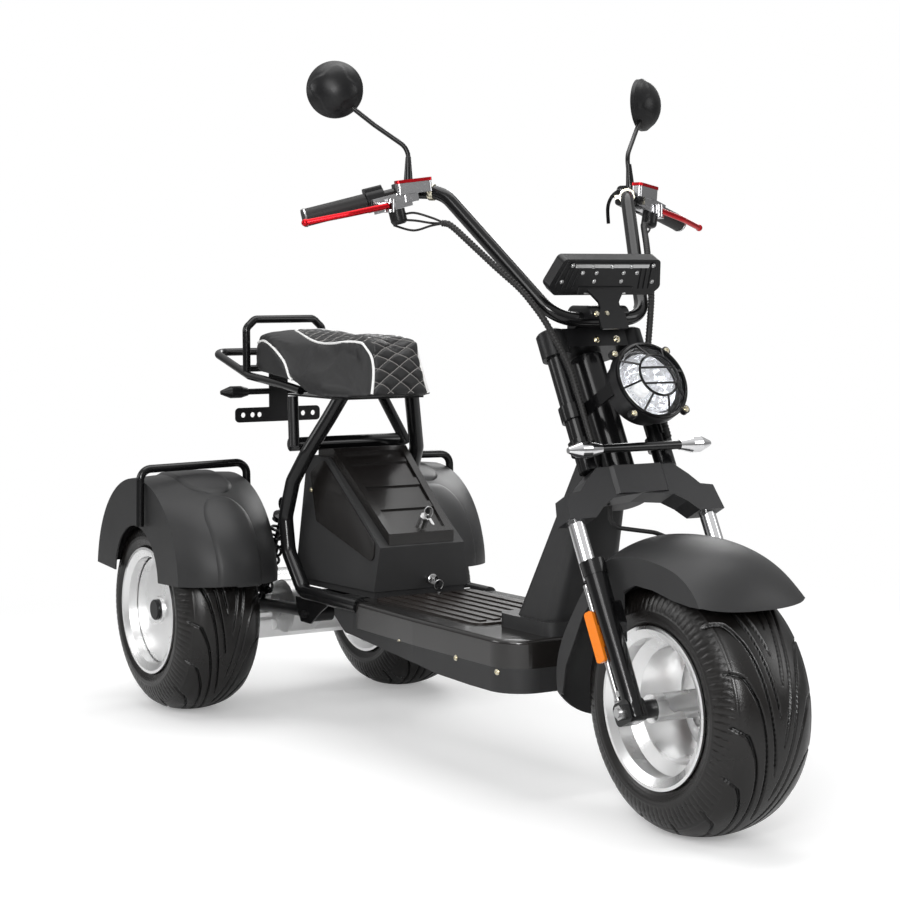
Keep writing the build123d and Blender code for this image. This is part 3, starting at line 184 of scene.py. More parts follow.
# ---- Stage ----
AMBIENT = 0.30
ROOM_LOW = 0.25
ROOM_HIGH = 0.85
FLOOR_GREY = 0.8
FLOOR_LIFT = 0.28
FLOOR_RADIUS = 30.0
FADE_START, FADE_END = 1.1, 2.6
MIDDLE = (700, 0, 500)
LAMPS = [  # name, place and aim in millimetres, width and height in metres, power in watts
    ("bank", (600, 0, 3400), MIDDLE, 3.2, 2.2, 62),
    ("key", (2900, -2600, 2300), MIDDLE, 1.6, 1.6, 40),
    ("side", (-900, -3000, 1700), MIDDLE, 1.6, 1.2, 24),
    ("rim", (-1500, 2200, 2100), MIDDLE, 1.4, 1.4, 30),
    ("front", (3900, -2300, 1450), (1500, 0, 400), 0.8, 0.8, 60),
    ("front_left", (3300, 2200, 1700), MIDDLE, 1.4, 1.4, 22),
]


def make_world():
    """White surroundings for the camera, a dim room with a bright ceiling for reflections, soft light."""
    world = bpy.data.worlds.new("studio")
    bpy.context.scene.world = world
    tree = Tree(world)
    soft = tree.node("ShaderNodeBackground", Strength=AMBIENT, Color=WHITE)
    white = tree.node("ShaderNodeBackground", Strength=1.0, Color=WHITE)
    split = tree.node("ShaderNodeSeparateXYZ", Vector=tree.node("ShaderNodeTexCoord").outputs["Generated"])
    shade = tree.ramp(split.outputs["Z"], 0.1, 0.8, ROOM_LOW, ROOM_HIGH)
    room = tree.node("ShaderNodeBackground", Strength=1.0, Color=shade)
    path = tree.node("ShaderNodeLightPath")
    lit = tree.mix(path.outputs["Is Glossy Ray"], soft.outputs[0], room.outputs[0])
    tree.node("ShaderNodeOutputWorld", Surface=tree.mix(tree.seen(), lit, white.outputs[0]))


def floor_material():
    """Matt pale floor that keeps the object's shadow near it and runs out into white."""
    material = bpy.data.materials.new("floor_paper")
    tree = Tree(material)
    diffuse = tree.node("ShaderNodeBsdfDiffuse", Color=(FLOOR_GREY, FLOOR_GREY, FLOOR_GREY, 1))
    lift = tree.node("ShaderNodeEmission", Strength=FLOOR_LIFT, Color=WHITE)
    near_by = tree.node("ShaderNodeAddShader")
    tree.link(diffuse.outputs[0], near_by.inputs[0])
    tree.link(lift.outputs[0], near_by.inputs[1])
    far = tree.node("ShaderNodeEmission", Strength=1.0, Color=WHITE)
    length = tree.node("ShaderNodeVectorMath", operation="LENGTH",
                       Vector=tree.node("ShaderNodeTexCoord").outputs["Object"])
    fade = tree.ramp(length.outputs["Value"], FADE_START, FADE_END, 0.0, 1.0)
    viewed = tree.mix(fade, near_by.outputs[0], far.outputs[0])
    tree.node("ShaderNodeOutputMaterial", Surface=tree.mix(tree.seen(), diffuse.outputs[0], viewed))
    return material


def make_floor():
    """Round floor, large enough to fill every view below the horizon."""
    mesh = bpy.data.meshes.new("floor")
    build = bmesh.new()
    bmesh.ops.create_circle(build, cap_ends=True, radius=FLOOR_RADIUS, segments=96)
    build.to_mesh(mesh)
    build.free()
    mesh.materials.append(floor_material())
    add_object("floor", mesh)


def make_lights():
    """A wide overhead bank, a key from the front right and low fills around."""
    for name, origin, target, width, height, power in LAMPS:
        data = bpy.data.lights.new(name, "AREA")
        data.shape = "RECTANGLE"
        data.size, data.size_y = width, height
        data.energy = power
        lamp = add_object(name, data)
        lamp.location = at(*origin)
        lamp.rotation_mode = "QUATERNION"
        lamp.rotation_quaternion = (at(*target) - at(*origin)).to_track_quat("-Z", "Y")


# ---- Materials ----
# Painted shade in the tyre grooves: the mesh attribute that holds it and the dark colour it mixes in.
GROOVE_SHADE_ATTRIBUTE = "groove_shade"
GROOVE_SHADE_COLOUR = (0.0015, 0.0015, 0.0015, 1)


def surface(name, colour, roughness, metallic=0.0, coat=0.0, specular=0.5, grain=0.0, grain_scale=400.0,
            mottle=0.0, mottle_scale=12.0, smudge=0.0, transmission=0.0, ior=1.45, emission=0.0,
            cells=False, grooved=False):
    """Principled material with fine grain in its bump and slow variation in colour and roughness; emission
    paints a glow, and grooved paints shade into tyre grooves from a mesh attribute.
    """
    material = bpy.data.materials.new(name)
    tree = Tree(material)
    shader = tree.node("ShaderNodeBsdfPrincipled", Metallic=metallic, Coat_Weight=coat,
                       Coat_Roughness=0.05, Specular_IOR_Level=specular, Roughness=roughness,
                       Transmission_Weight=transmission, IOR=ior, Base_Color=(*colour, 1))
    if emission:
        shader.inputs["Emission Color"].default_value = (*colour, 1)
        shader.inputs["Emission Strength"].default_value = emission
    tree.node("ShaderNodeOutputMaterial", Surface=shader.outputs[0])
    coords = tree.node("ShaderNodeTexCoord").outputs["Object"]
    if mottle:
        slow = tree.node("ShaderNodeTexNoise", Vector=coords, Scale=mottle_scale, Detail=6.0)
        ramp = tree.node("ShaderNodeValToRGB", Fac=slow.outputs["Fac"])
        for stop, (position, share) in zip(ramp.color_ramp.elements, ((0.3, 1 - mottle), (0.7, 1 + mottle))):
            stop.position = position
            stop.color = (*[min(1.0, channel * share) for channel in colour], 1)
        shade = ramp.outputs["Color"]
        # Painted shade: the colour darkens in the tyre grooves by the depth stored on the mesh.
        if grooved:
            depth = tree.node("ShaderNodeAttribute", attribute_name=GROOVE_SHADE_ATTRIBUTE)
            mixer = tree.node("ShaderNodeMix", data_type="RGBA")
            mixer.inputs[7].default_value = GROOVE_SHADE_COLOUR
            tree.link(depth.outputs["Fac"], mixer.inputs[0])
            tree.link(shade, mixer.inputs[6])
            shade = mixer.outputs[2]
        tree.link(shade, shader.inputs["Base Color"])
    if smudge:
        haze = tree.node("ShaderNodeTexNoise", Vector=coords, Scale=7.0, Detail=8.0)
        rough = tree.ramp(haze.outputs["Fac"], 0.3, 0.7, max(0.02, roughness - smudge),
                          min(1.0, roughness + smudge))
        tree.link(rough, shader.inputs["Roughness"])
    if grain:
        kind, height = ("TexVoronoi", "Distance") if cells else ("TexNoise", "Fac")
        fine = tree.node("ShaderNode" + kind, Vector=coords, Scale=grain_scale)
        bump = tree.node("ShaderNodeBump", Height=fine.outputs[height], Strength=grain, Distance=0.001)
        tree.link(bump.outputs[0], shader.inputs["Normal"])
    return material


MATERIALS = {
    # Tyre rubber, with painted shade in its grooves.
    "tyre": surface("tyre_rubber", (0.0055, 0.0048, 0.0044), 0.3, grain=0.2, grain_scale=900, mottle=0.3,
                    smudge=0.1, grooved=True),
    "alloy": surface("cast_alloy", (0.86, 0.86, 0.86), 0.3, metallic=1.0, grain=0.06, grain_scale=700,
                     mottle=0.05, smudge=0.09),
    "steel": surface("ground_steel", (0.46, 0.46, 0.46), 0.3, metallic=1.0, grain=0.08, smudge=0.08),
    "disc": surface("brown_steel", (0.30, 0.17, 0.14), 0.42, metallic=0.8, grain=0.08, mottle=0.2),
    "zinc": surface("zinc_plate", (0.62, 0.58, 0.46), 0.25, metallic=1.0, smudge=0.08, mottle=0.2,
                    mottle_scale=90),
    "perch": surface("perch_alloy", (0.5, 0.5, 0.51), 0.24, metallic=1.0, smudge=0.04),
    "chrome": surface("chrome", (0.8, 0.8, 0.81), 0.07, metallic=1.0, smudge=0.03),
    "gloss_black": surface("gloss_enamel", (0.004, 0.004, 0.0043), 0.2, coat=0.15, specular=0.32,
                           smudge=0.05, grain=0.03, grain_scale=120),
    "satin_black": surface("satin_enamel", (0.0065, 0.0065, 0.007), 0.34, specular=0.3, grain=0.08,
                           grain_scale=300, smudge=0.05),
    "crown": surface("satin_cast", (0.02, 0.02, 0.021), 0.42, specular=0.35, grain=0.14, grain_scale=350,
                     smudge=0.05),
    "charcoal": surface("charcoal_plastic", (0.024, 0.024, 0.0245), 0.44, specular=0.32, grain=0.1,
                        grain_scale=1100, mottle=0.06, smudge=0.04),
    "gloss_deck": surface("gloss_plastic", (0.010, 0.009, 0.0085), 0.22, coat=0.35, smudge=0.05,
                          grain=0.04, grain_scale=150),
    "mat": surface("glossy_mat", (0.018, 0.0145, 0.013), 0.32, specular=0.45, grain=0.12, grain_scale=600,
                   mottle=0.2, smudge=0.08),
    "rubber": surface("moulded_rubber", (0.012, 0.0115, 0.0115), 0.5, specular=0.35, grain=0.2,
                      grain_scale=600, smudge=0.06),
    "red": surface("red_anodised", (0.50, 0.008, 0.014), 0.26, metallic=0.85, smudge=0.05, grain=0.03),
    "amber": surface("amber_reflector", (0.74, 0.19, 0.012), 0.2, coat=0.5, grain=0.5, grain_scale=260,
                     cells=True),
    "lens": surface("clear_lens", (0.95, 0.96, 0.98), 0.03, transmission=1.0, ior=1.3, grain=0.04,
                    grain_scale=60),
    "bowl": surface("reflector_bowl", (0.84, 0.84, 0.85), 0.2, metallic=1.0, smudge=0.02),
    # Painted glow: the headlight's lamp core shines by its own emission, not lit by a scene lamp.
    "lamp": surface("lamp_core_painted_glow", (0.9, 0.9, 0.88), 0.3, emission=0.35, grain=0.05),
    "mirror": surface("mirror_glass", (0.8, 0.82, 0.85), 0.02, metallic=1.0, smudge=0.01),
    "screen": surface("screen_glass", (0.006, 0.007, 0.009), 0.07, coat=0.8, smudge=0.03),
    "leather": surface("black_leather", (0.0105, 0.0105, 0.011), 0.4, specular=0.45, grain=0.35,
                       grain_scale=700, smudge=0.07, cells=True),
    "piping": surface("white_piping", (0.78, 0.78, 0.77), 0.4, grain=0.15, grain_scale=900, mottle=0.03),
    "thread": surface("pale_thread", (0.25, 0.24, 0.23), 0.6, grain=0.3, grain_scale=2500, mottle=0.1),
}


# ---- Mesh helpers ----
class Shape:
    """Collects vertices in millimetres and faces with a material number each."""

    def __init__(self):
        self.vertices = []
        self.faces = []
        self.slots = []

    def add(self, vertices, faces, slots):
        """Adds a block of geometry."""
        base = len(self.vertices)
        self.vertices.extend(vertices)
        self.faces.extend(tuple(base + index for index in face) for face in faces)
        self.slots.extend(slots)

    def rings(self, rings, slot=0, closed=True, caps=True):
        """Skins a run of rings with the same number of points."""
        count = len(rings[0])
        faces = []
        for level in range(len(rings) - 1):
            low, high = level * count, (level + 1) * count
            for index in range(count if closed else count - 1):
                after = (index + 1) % count
                faces.append((low + index, low + after, high + after, high + index))
        if caps:
            faces.append(tuple(reversed(range(count))))
            faces.append(tuple(range((len(rings) - 1) * count, len(rings) * count)))
        self.add([point for ring in rings for point in ring], faces, [slot] * len(faces))

    def lathe(self, matrix, profile, segments=24, slot=0, caps=True):
        """Turns a profile of (radius, height) pairs about the local Z of a frame."""
        self.rings([[matrix @ polar(radius, angle, height) for angle in angles(segments)]
                    for radius, height in profile], slot, caps=caps)

    def prism(self, matrix, outline, low, high, slot=0, bevel=0.0):
        """Extrudes a plan outline between two heights, with an optional bevelled top edge."""
        centre = [sum(point[axis] for point in outline) / len(outline) for axis in (0, 1)]
        reach = max(abs(point[axis] - centre[axis]) for point in outline for axis in (0, 1))
        levels = [(low, 1), (high - bevel, 1), (high, 1 - bevel / reach)] if bevel else [(low, 1), (high, 1)]
        self.rings([[matrix @ Vector((centre[0] + (x - centre[0]) * scale,
                                      centre[1] + (y - centre[1]) * scale, height)) for x, y in outline]
                    for height, scale in levels], slot)

    def tube(self, points, radius, segments=10):
        """Sweeps a round section along points; the radius may change from point to point."""
        points = [Vector(point) for point in points]
        radii = radius if isinstance(radius, list) else [radius] * len(points)
        rings = []
        side = None
        for index, point in enumerate(points):
            before = points[max(index - 1, 0)]
            after = points[min(index + 1, len(points) - 1)]
            along = (after - before).normalized()
            if side is None:
                side = along.cross(UP if abs(along.z) < 0.9 else Vector((1, 0, 0))).normalized()
            side = (side - along * side.dot(along)).normalized()
            other = along.cross(side)
            rings.append([point + (side * cos(turn) + other * sin(turn)) * radii[index]
                          for turn in angles(segments)])
        self.rings(rings)


def both_sides(shape):
    """A new shape holding another as it is and mirrored to the left."""
    both = Shape()
    both.add(shape.vertices, shape.faces, shape.slots)
    both.add([Vector((v.x, -v.y, v.z)) for v in shape.vertices],
             [tuple(reversed(face)) for face in shape.faces], shape.slots)
    return both


def curve_points(points, steps=8):
    """Smooth run of points through the given ones."""
    points = [Vector(point) for point in points]
    out = []
    for index in range(len(points) - 1):
        first = points[max(index - 1, 0)]
        start, end = points[index], points[index + 1]
        last = points[min(index + 2, len(points) - 1)]
        for step in range(steps):
            t = step / steps
            out.append(0.5 * ((2 * start) + (end - first) * t
                              + (2 * first - 5 * start + 4 * end - last) * t * t
                              + (3 * start - first - 3 * end + last) * t * t * t))
    out.append(points[-1])
    return out


def shade_smooth(mesh, smooth=True):
    """Smooth or flat shading on every face."""
    mesh.polygons.foreach_set("use_smooth", [smooth] * len(mesh.polygons))


def finish_piece(name, shape, finishes, body, sharp=35.0, smooth=True):
    """Makes a piece from a shape, gives it its materials and rides it on a body."""
    mesh = bpy.data.meshes.new(name)
    mesh.from_pydata([at(*vertex) for vertex in shape.vertices], [], shape.faces)
    for key in finishes.split():
        mesh.materials.append(MATERIALS[key])
    mesh.polygons.foreach_set("material_index", shape.slots)
    build = bmesh.new()
    build.from_mesh(mesh)
    bmesh.ops.recalc_face_normals(build, faces=build.faces)
    build.to_mesh(mesh)
    build.free()
    shade_smooth(mesh, smooth)
    if smooth:
        mesh.set_sharp_from_angle(angle=radians(sharp))
    piece = add_object(name, mesh)
    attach(piece, body)
    return piece


def read(values, key):
    """A vector attribute of many elements as an array."""
    out = np.empty(len(values) * 3)
    values.foreach_get(key, out)
    return out.reshape(-1, 3)


def in_millimetres(points):
    """Points in metres turned into millimetres from below the rear axle."""
    out = points * 1000
    out[:, 0] -= AXLE_X * 1000
    return out


def surface_tree(mesh):
    """Search tree over a mesh, in millimetres from below the rear axle."""
    points = in_millimetres(read(mesh.vertices, "co"))
    return BVHTree.FromPolygons([Vector(p) for p in points], [tuple(f.vertices) for f in mesh.polygons])


def cap_screw(shape, origin, direction, radius, height):
    """Round screw head with a hexagon socket and a washer."""
    matrix = place(origin, direction)
    socket = radius * 0.5
    shape.lathe(matrix, [(radius * 1.35, 0), (radius * 1.35, 0.8), (radius, 0.8), (radius, height * 0.8),
                         (radius * 0.86, height)], 20, caps=False)
    shape.lathe(matrix, [(radius * 0.86, height), (socket, height), (socket * 0.9, height * 0.35),
                         (0.01, height * 0.3)], 20, caps=False)


def hex_bolt(shape, origin, direction, across):
    """Hexagon bolt head on a washer."""
    matrix = place(origin, direction)
    shape.lathe(matrix, [(across * 0.62, 0), (across * 0.62, 1.2)], 20)
    shape.prism(matrix, oval(across / 2, across / 2, 6), 1.2, 5, bevel=0.6)


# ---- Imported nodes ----
FINISH = {
    "tyre": "front_tyre rear_right_tyre rear_left_tyre",
    "alloy": "front_rim rear_right_rim rear_left_rim axle_housing",
    "perch": "master_cylinders",
    "steel": "rear_right_shaft rear_left_shaft front_axle reflector_rods front_caliper lid_lock "
             "box_lock",
    "disc": "front_brake_disc",
    "chrome": "stanchions front_signals",
    "crown": "lower_yoke",
    "charcoal": "deck_skirt column_cover battery_box front_fender rear_fenders",
    "gloss_deck": "deck_moulding battery_lid side_panels",
    "mat": "deck_mat",
    "rubber": "grips cable_looms brake_hose",
    "red": "reservoir_caps levers",
    "amber": "reflectors",
    "lens": "headlight_lens",
    "leather": "seat_cushion",
    "satin_black": "battery_pack riser_block top_clamp plate_bracket swing_arms display "
                   "control_housings mirror_heads rear_signals headlight_housing",
}


def dress_nodes():
    """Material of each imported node; what the list leaves out is gloss black tube and bracket."""
    chosen = {node: key for key, nodes in FINISH.items() for node in nodes.split()}
    for node, thing in NODES.items():
        mesh = thing.data
        mesh.materials.clear()
        mesh.materials.append(MATERIALS[chosen.get(node, "gloss_black")])
        mesh.polygons.foreach_set("material_index", [0] * len(mesh.polygons))


def paint_faces(node, finish, wanted):
    """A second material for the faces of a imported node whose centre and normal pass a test."""
    mesh = NODES[node].data
    mesh.materials.append(MATERIALS[finish])
    for face in mesh.polygons:
        centre = Vector(((face.center.x - AXLE_X) * 1000, face.center.y * 1000, face.center.z * 1000))
        if wanted(centre, face.normal):
            face.material_index = 1


CLAMP_AT = 192
CLAMP_HALF = (17.5, 23, 22)
SHAFT_CAP_Y = HALF_TRACK + 66
AXLE_END_Y = (99, 123)
SIGNAL_LENS_Y = 99
GLASS_BEHIND, GLASS_REACH = 7.9, 70


def paint_details():
    """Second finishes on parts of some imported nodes."""
    for node in ("rear_right_shaft", "rear_left_shaft"):
        paint_faces(node, "satin_black", lambda centre, normal: abs(centre.y) > SHAFT_CAP_Y)
    paint_faces("master_cylinders", "satin_black", clamp_face)
    paint_faces("front_axle", "satin_black",
                lambda centre, normal: AXLE_END_Y[0] < abs(centre.y) < AXLE_END_Y[1])
    paint_faces("mirror_heads", "mirror", mirror_face)
    paint_faces("rear_signals", "amber",
                lambda centre, normal: abs(centre.y) > SIGNAL_LENS_Y and normal.x < -0.25)


def clamp_face(centre, normal):
    """True on the black clamp that holds a perch on the bar."""
    local = bar_place(CLAMP_AT).inverted() @ Vector((centre.x, -abs(centre.y), centre.z))
    return all(abs(value) < half for value, half in zip(local, CLAMP_HALF))


def mirror_face(centre, normal):
    """True for the flat rear face of a mirror, inside its rim."""
    side = Vector((centre.x, -abs(centre.y), centre.z)) - MIRROR_CENTRE
    return side.dot(MIRROR_AHEAD) < -GLASS_BEHIND and side.length < GLASS_REACH


# ---- Tyres ----
TYRE_HALF = 98.5
TYRE_SEAT = 126.85
TYRE_SIDE = 160.0
TREAD_EDGE = 222.0
TREAD_TOP = 229.35
BEAD_OFFSET = 88.0
GROOVED_FROM = 196
GROOVES = 14
GROOVE_SPAN = radians(74)
GROOVE_DEPTH = 6.0
# Groove depth at which the painted shade is full.
GROOVE_SHADE_DEPTH = 2.6
GROOVE_HALF = 2.7
GROOVE_RUN = [0.0, 0.05, 0.10, 0.20, 0.30, 0.42, 0.55, 0.70, 0.90, 1.0]
GROOVE_WAY = [86.0, 64.0, 57.0, 46.0, 39.0, 32.5, 26.5, 19.5, 9.5, 5.0]
TYRE_INSIDE = [(TYRE_SEAT, -BEAD_OFFSET), (TYRE_SEAT, -72.0), (154.0, -85.0), (205.0, -52.0), (213.0, 0.0),
               (205.0, 52.0), (154.0, 85.0), (TYRE_SEAT, 72.0), (TYRE_SEAT, BEAD_OFFSET)]
SIPES = 90
MOULD_RINGS = (149.0, 166.0, 208.0)
TURN_STEPS = 500
TYRES = [  # piece, node, body, axle x, middle y, side that faces outwards
    ("tread_front", "front_tyre", "front_wheel", WHEELBASE, 0, -1),
    ("tread_rear_right", "rear_right_tyre", "rear_right_wheel", 0, -HALF_TRACK, -1),
    ("tread_rear_left", "rear_left_tyre", "rear_left_wheel", 0, HALF_TRACK, 1),
]


def arc_points(first, middle, last, count):
    """Points on the circle through three points, from the first towards the last."""
    a, b, c = (complex(*point) for point in (first, middle, last))
    ratio = (c - a) / (b - a)
    centre = a + (b - a) * (ratio - abs(ratio) ** 2) / (2j * ratio.imag)
    span = cmath.phase((c - centre) / (a - centre))
    arc = (centre + (a - centre) * cmath.rect(1, span * index / count) for index in range(count))
    return [(point.real, point.imag) for point in arc]


def tyre_profile():
    """Outer profile of the tyre as radii and offsets from bead to bead."""
    flat = 52.0
    rise, run = TREAD_EDGE - TYRE_SIDE, TYRE_HALF - flat
    arc = (rise * rise + run * run) / (2 * run)
    slant = radians(45)
    middle = (TYRE_SIDE + arc * sin(slant), TYRE_HALF - arc + arc * cos(slant))
    heel = TYRE_SEAT + 12
    belly = ((heel + TYRE_SIDE) / 2, TYRE_HALF - 3.5)
    half = arc_points((heel, BEAD_OFFSET), belly, (TYRE_SIDE, TYRE_HALF), 12)
    half += arc_points((TYRE_SIDE, TYRE_HALF), middle, (TREAD_EDGE, flat), 40)
    half += arc_points((TREAD_EDGE, flat), (TREAD_TOP, 0.0), (TREAD_EDGE, -flat), 70)[:35]
    mirrored = [(radius, -offset) for radius, offset in reversed(half)]
    return np.array(half + [(TREAD_TOP, 0.0)] + mirrored).T


def tread_depth(turn, offset):
    """Depth of the grooves at angles and offsets on the tread."""
    depth = np.zeros_like(turn)
    slopes = np.gradient(GROOVE_WAY, GROOVE_RUN) / (GROOVE_SPAN * TREAD_EDGE)
    for side in (-1, 1):
        for index in range(GROOVES):
            start = 2 * pi * (index + (0.5 if side > 0 else 0)) / GROOVES
            run = ((turn - start) % (2 * pi)) / GROOVE_SPAN
            lateral = np.abs(offset * side - np.interp(run, GROOVE_RUN, GROOVE_WAY))
            slope = np.interp(run, GROOVE_RUN, slopes)
            away = lateral / np.sqrt(1 + slope * slope)
            width = GROOVE_HALF * np.clip((1 - run) * 16, 0.3, 1)
            cut = np.clip(2.2 * (1 - away / width), 0, 1)
            depth = np.maximum(depth, np.where(run <= 1, cut * GROOVE_DEPTH, 0))
    return depth


def sipe_depth(turn, radius, offset):
    """Depth of the short sideways cuts on the shoulders and the steps on the sidewalls."""
    pitch = 2 * pi / SIPES
    phase = np.abs(((turn + 0.002 * np.abs(offset)) % pitch) / pitch - 0.5)
    band = np.clip((np.abs(offset) - 78) / 4, 0, 1) * np.clip((radius - 168) / 4, 0, 1) * np.clip(
        (206 - radius) / 4, 0, 1)
    cuts = np.clip(1 - phase / 0.13, 0, 1) * band * 1.6
    rings = sum(np.clip(1 - np.abs(radius - ring) / 1.6, 0, 1) for ring in MOULD_RINGS)
    return cuts - rings * 0.9 * (np.abs(offset) > 60)


def make_tyre(name, node, body, x, y, facing):
    """Tyre with its directional grooves and painted shade in them, shoulder cuts and moulded rings."""
    radii, offsets = tyre_profile()
    tangent = np.stack([np.gradient(radii), np.gradient(offsets)], 1)
    lean = np.abs(tangent) / np.linalg.norm(tangent, axis=1)[:, None]
    turns = np.linspace(0, 2 * pi, TURN_STEPS, endpoint=False)
    turn, offset = np.meshgrid(turns, offsets, indexing="ij")
    radius = np.broadcast_to(radii, turn.shape)
    grooved = radius > GROOVED_FROM
    depth = np.where(grooved, tread_depth(turn, offset), 0) + sipe_depth(turn, radius, offset)
    inner_r, inner_y = (np.tile(row, (TURN_STEPS, 1)) for row in np.array(TYRE_INSIDE).T)
    full_r = np.hstack([radius - depth * lean[:, 1], inner_r])
    full_y = np.hstack([offset - depth * lean[:, 0] * np.sign(offsets), inner_y])
    vertices = np.stack([(x + full_r * np.sin(turns)[:, None]) / 1000 + AXLE_X, (y + full_y * facing) / 1000,
                         (WHEEL_Z + full_r * np.cos(turns)[:, None]) / 1000], -1).reshape(-1, 3)
    grid = np.arange(full_r.size).reshape(full_r.shape)
    ahead = np.roll(grid, -1, 0)
    quads = np.stack([grid, np.roll(grid, -1, 1), np.roll(ahead, -1, 1), ahead], -1).reshape(-1, 4)
    mesh = bpy.data.meshes.new(name)
    mesh.from_pydata(vertices.tolist(), [], quads[:, ::-facing].tolist())
    mesh.materials.append(MATERIALS["tyre"])
    # Painted shade: 0 to 1 down into each groove, for the tyre material's darker colour.
    shade = np.zeros(full_r.shape)
    shade[:, :depth.shape[1]] = np.where(grooved, np.clip(depth / GROOVE_SHADE_DEPTH, 0, 1), 0)
    mesh.attributes.new(GROOVE_SHADE_ATTRIBUTE, "FLOAT", "POINT").data.foreach_set("value", shade.ravel())
    shade_smooth(mesh)
    piece = add_object(name, mesh)
    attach(piece, body)
    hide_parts(node)


def make_tyres():
    """The three tyres, each facing outwards on its own wheel."""
    for row in TYRES:
        make_tyre(*row)


# ---- Seat ----
SEAT_VOXEL = 0.0055
SEAT_START = 0.005
SEAT_CAP = 0.009
SEAT_FRAMES = 20
CLOTH = {"quality": 5, "mass": 0.3, "use_pressure": True, "uniform_pressure_force": 4.0,
         "tension_stiffness": 12, "compression_stiffness": 12, "bending_stiffness": 1.5,
         "vertex_group_mass": "underside"}
SIDE_HOLLOW = 0.007
CHANNEL_DEPTH = 0.0042
PANEL_RISE = 0.0012
SEAM_DEPTH = 0.0028
SEAM_WIDTH = 9
THREAD_STEP = 3.0
DIAMOND_WIDTH = 49.0
DIAMOND_LENGTH = 37.0
PANEL_EDGE = [
    (68, 0, 848), (70, -18, 848), (77, -30, 846), (95, -38, 839), (122, -44, 832), (193, -56, 825),
    (262, -62, 825), (334, -64, 830), (392, -62, 834), (427, -60, 833), (448, -57, 826), (468, -56, 811),
    (482, -58, 790), (493, -64, 754), (497, -69, 724),
]
REAR_SEAM = [
    (-50, 0, 826), (-46, -40, 826), (-34, -78, 824), (5, -92, 827), (60, -103, 830), (115, -112, 821),
    (168, -118, 794), (188, -118, 775), (207, -118, 753), (218, -118, 747),
]
PLAN = ([-58, -44, -20, 40, 120, 360, 470, 530], [52, 76, 86, 104, 120, 120, 92, 66])
WAIST = ([150, 200, 260, 330, 400, 450, 490, 530], [0.82, 0.70, 0.61, 0.60, 0.65, 0.69, 0.80, 0.84])
CROWN = ([0, 80, 130, 180, 240, 300, 357, 410, 450, 530], [0, 4, 14, 26, 32, 32, 19, 5, 0, 0])
EDGE_RISE = ([0, 100, 190, 260, 334, 392, 450], [0, 3, 6, 9, 9, 3, 0])
LEAN = ([722, 745, 770, 800, 838], [2, 18, 31, 33, 34])


def smooth_step(value):
    """Smooth rise from 0 to 1."""
    value = np.clip(value, 0, 1)
    return value * value * (3 - 2 * value)


def saddle(points):
    """Waist, crowned top and leaning nose of the saddle, from the plain block in millimetres."""
    x, y, z = points.T
    half = np.interp(x, *PLAN)
    start = smooth_step((x - 100 - np.clip(822 - z, 0, 90) * 1.5) / 130)
    flare = smooth_step((826 - z) / 88) ** 1.5
    ratio = 1 - (1 - np.interp(x, *WAIST)) * start * (1 - flare)
    across = np.clip(np.abs(y) / half, 0, 1)
    top = smooth_step((z - 770) / 50)
    rise = np.interp(x, *EDGE_RISE) + (np.interp(x, *CROWN) - np.interp(x, *EDGE_RISE)) * (1 - across ** 2)
    lean = np.interp(z, *LEAN) * smooth_step((x - 370) / 130)
    return np.stack([x - lean, y * ratio, z + rise * top], 1)


def crease(x, z):
    """Distance run along the top of the seat and down its front face."""
    return (x - 516) - (z - 841)


PANEL_RUN = [crease(x, z) for x, y, z in PANEL_EDGE[1:]]
PANEL_HALF = [-y for x, y, z in PANEL_EDGE[1:]]


def panel_half(run):
    """Half width of the quilted panel at a distance along the seat."""
    return np.where(run < PANEL_RUN[0], 0.0, np.interp(run, PANEL_RUN, PANEL_HALF))


def apply_modifiers(thing):
    """Replaces an object's mesh by the one its modifiers give."""
    graph = bpy.context.evaluated_depsgraph_get()
    mesh = bpy.data.meshes.new_from_object(thing.evaluated_get(graph))
    thing.modifiers.clear()
    thing.data = mesh


def set_points(mesh, points):
    """Writes vertex positions back."""
    mesh.vertices.foreach_set("co", points.astype(np.float32).ravel())
    mesh.update()


def near(value, middle, half):
    """Smooth bump: 1 at the middle, 0 beyond the half width."""
    return np.clip(1 - ((value - middle) / half) ** 2, 0, 1) ** 2


def inflate(thing):
    """Swells a closed pad with cloth pressure, holding its underside, and caps how far points move."""
    before = read(thing.data.vertices, "co")
    normals = read(thing.data.vertex_normals, "vector")
    low = thing.vertex_groups.new(name="underside")
    low.add([int(i) for i in np.nonzero(normals[:, 2] < -0.7)[0]], 1.0, "REPLACE")
    cloth = thing.modifiers.new("pad", "CLOTH")
    for key, value in CLOTH.items():
        setattr(cloth.settings, key, value)
    cloth.settings.effector_weights.gravity = 0.0
    cloth.point_cache.frame_start = 1
    cloth.point_cache.frame_end = SEAT_FRAMES
    for frame_number in range(1, SEAT_FRAMES + 1):
        bpy.context.scene.frame_set(frame_number)
    apply_modifiers(thing)
    bpy.context.scene.frame_set(1)
    moved = read(thing.data.vertices, "co") - before
    length = np.linalg.norm(moved, axis=1)
    scale = np.minimum(1.0, SEAT_CAP / np.maximum(length, 1e-9))
    set_points(thing.data, before + moved * scale[:, None])


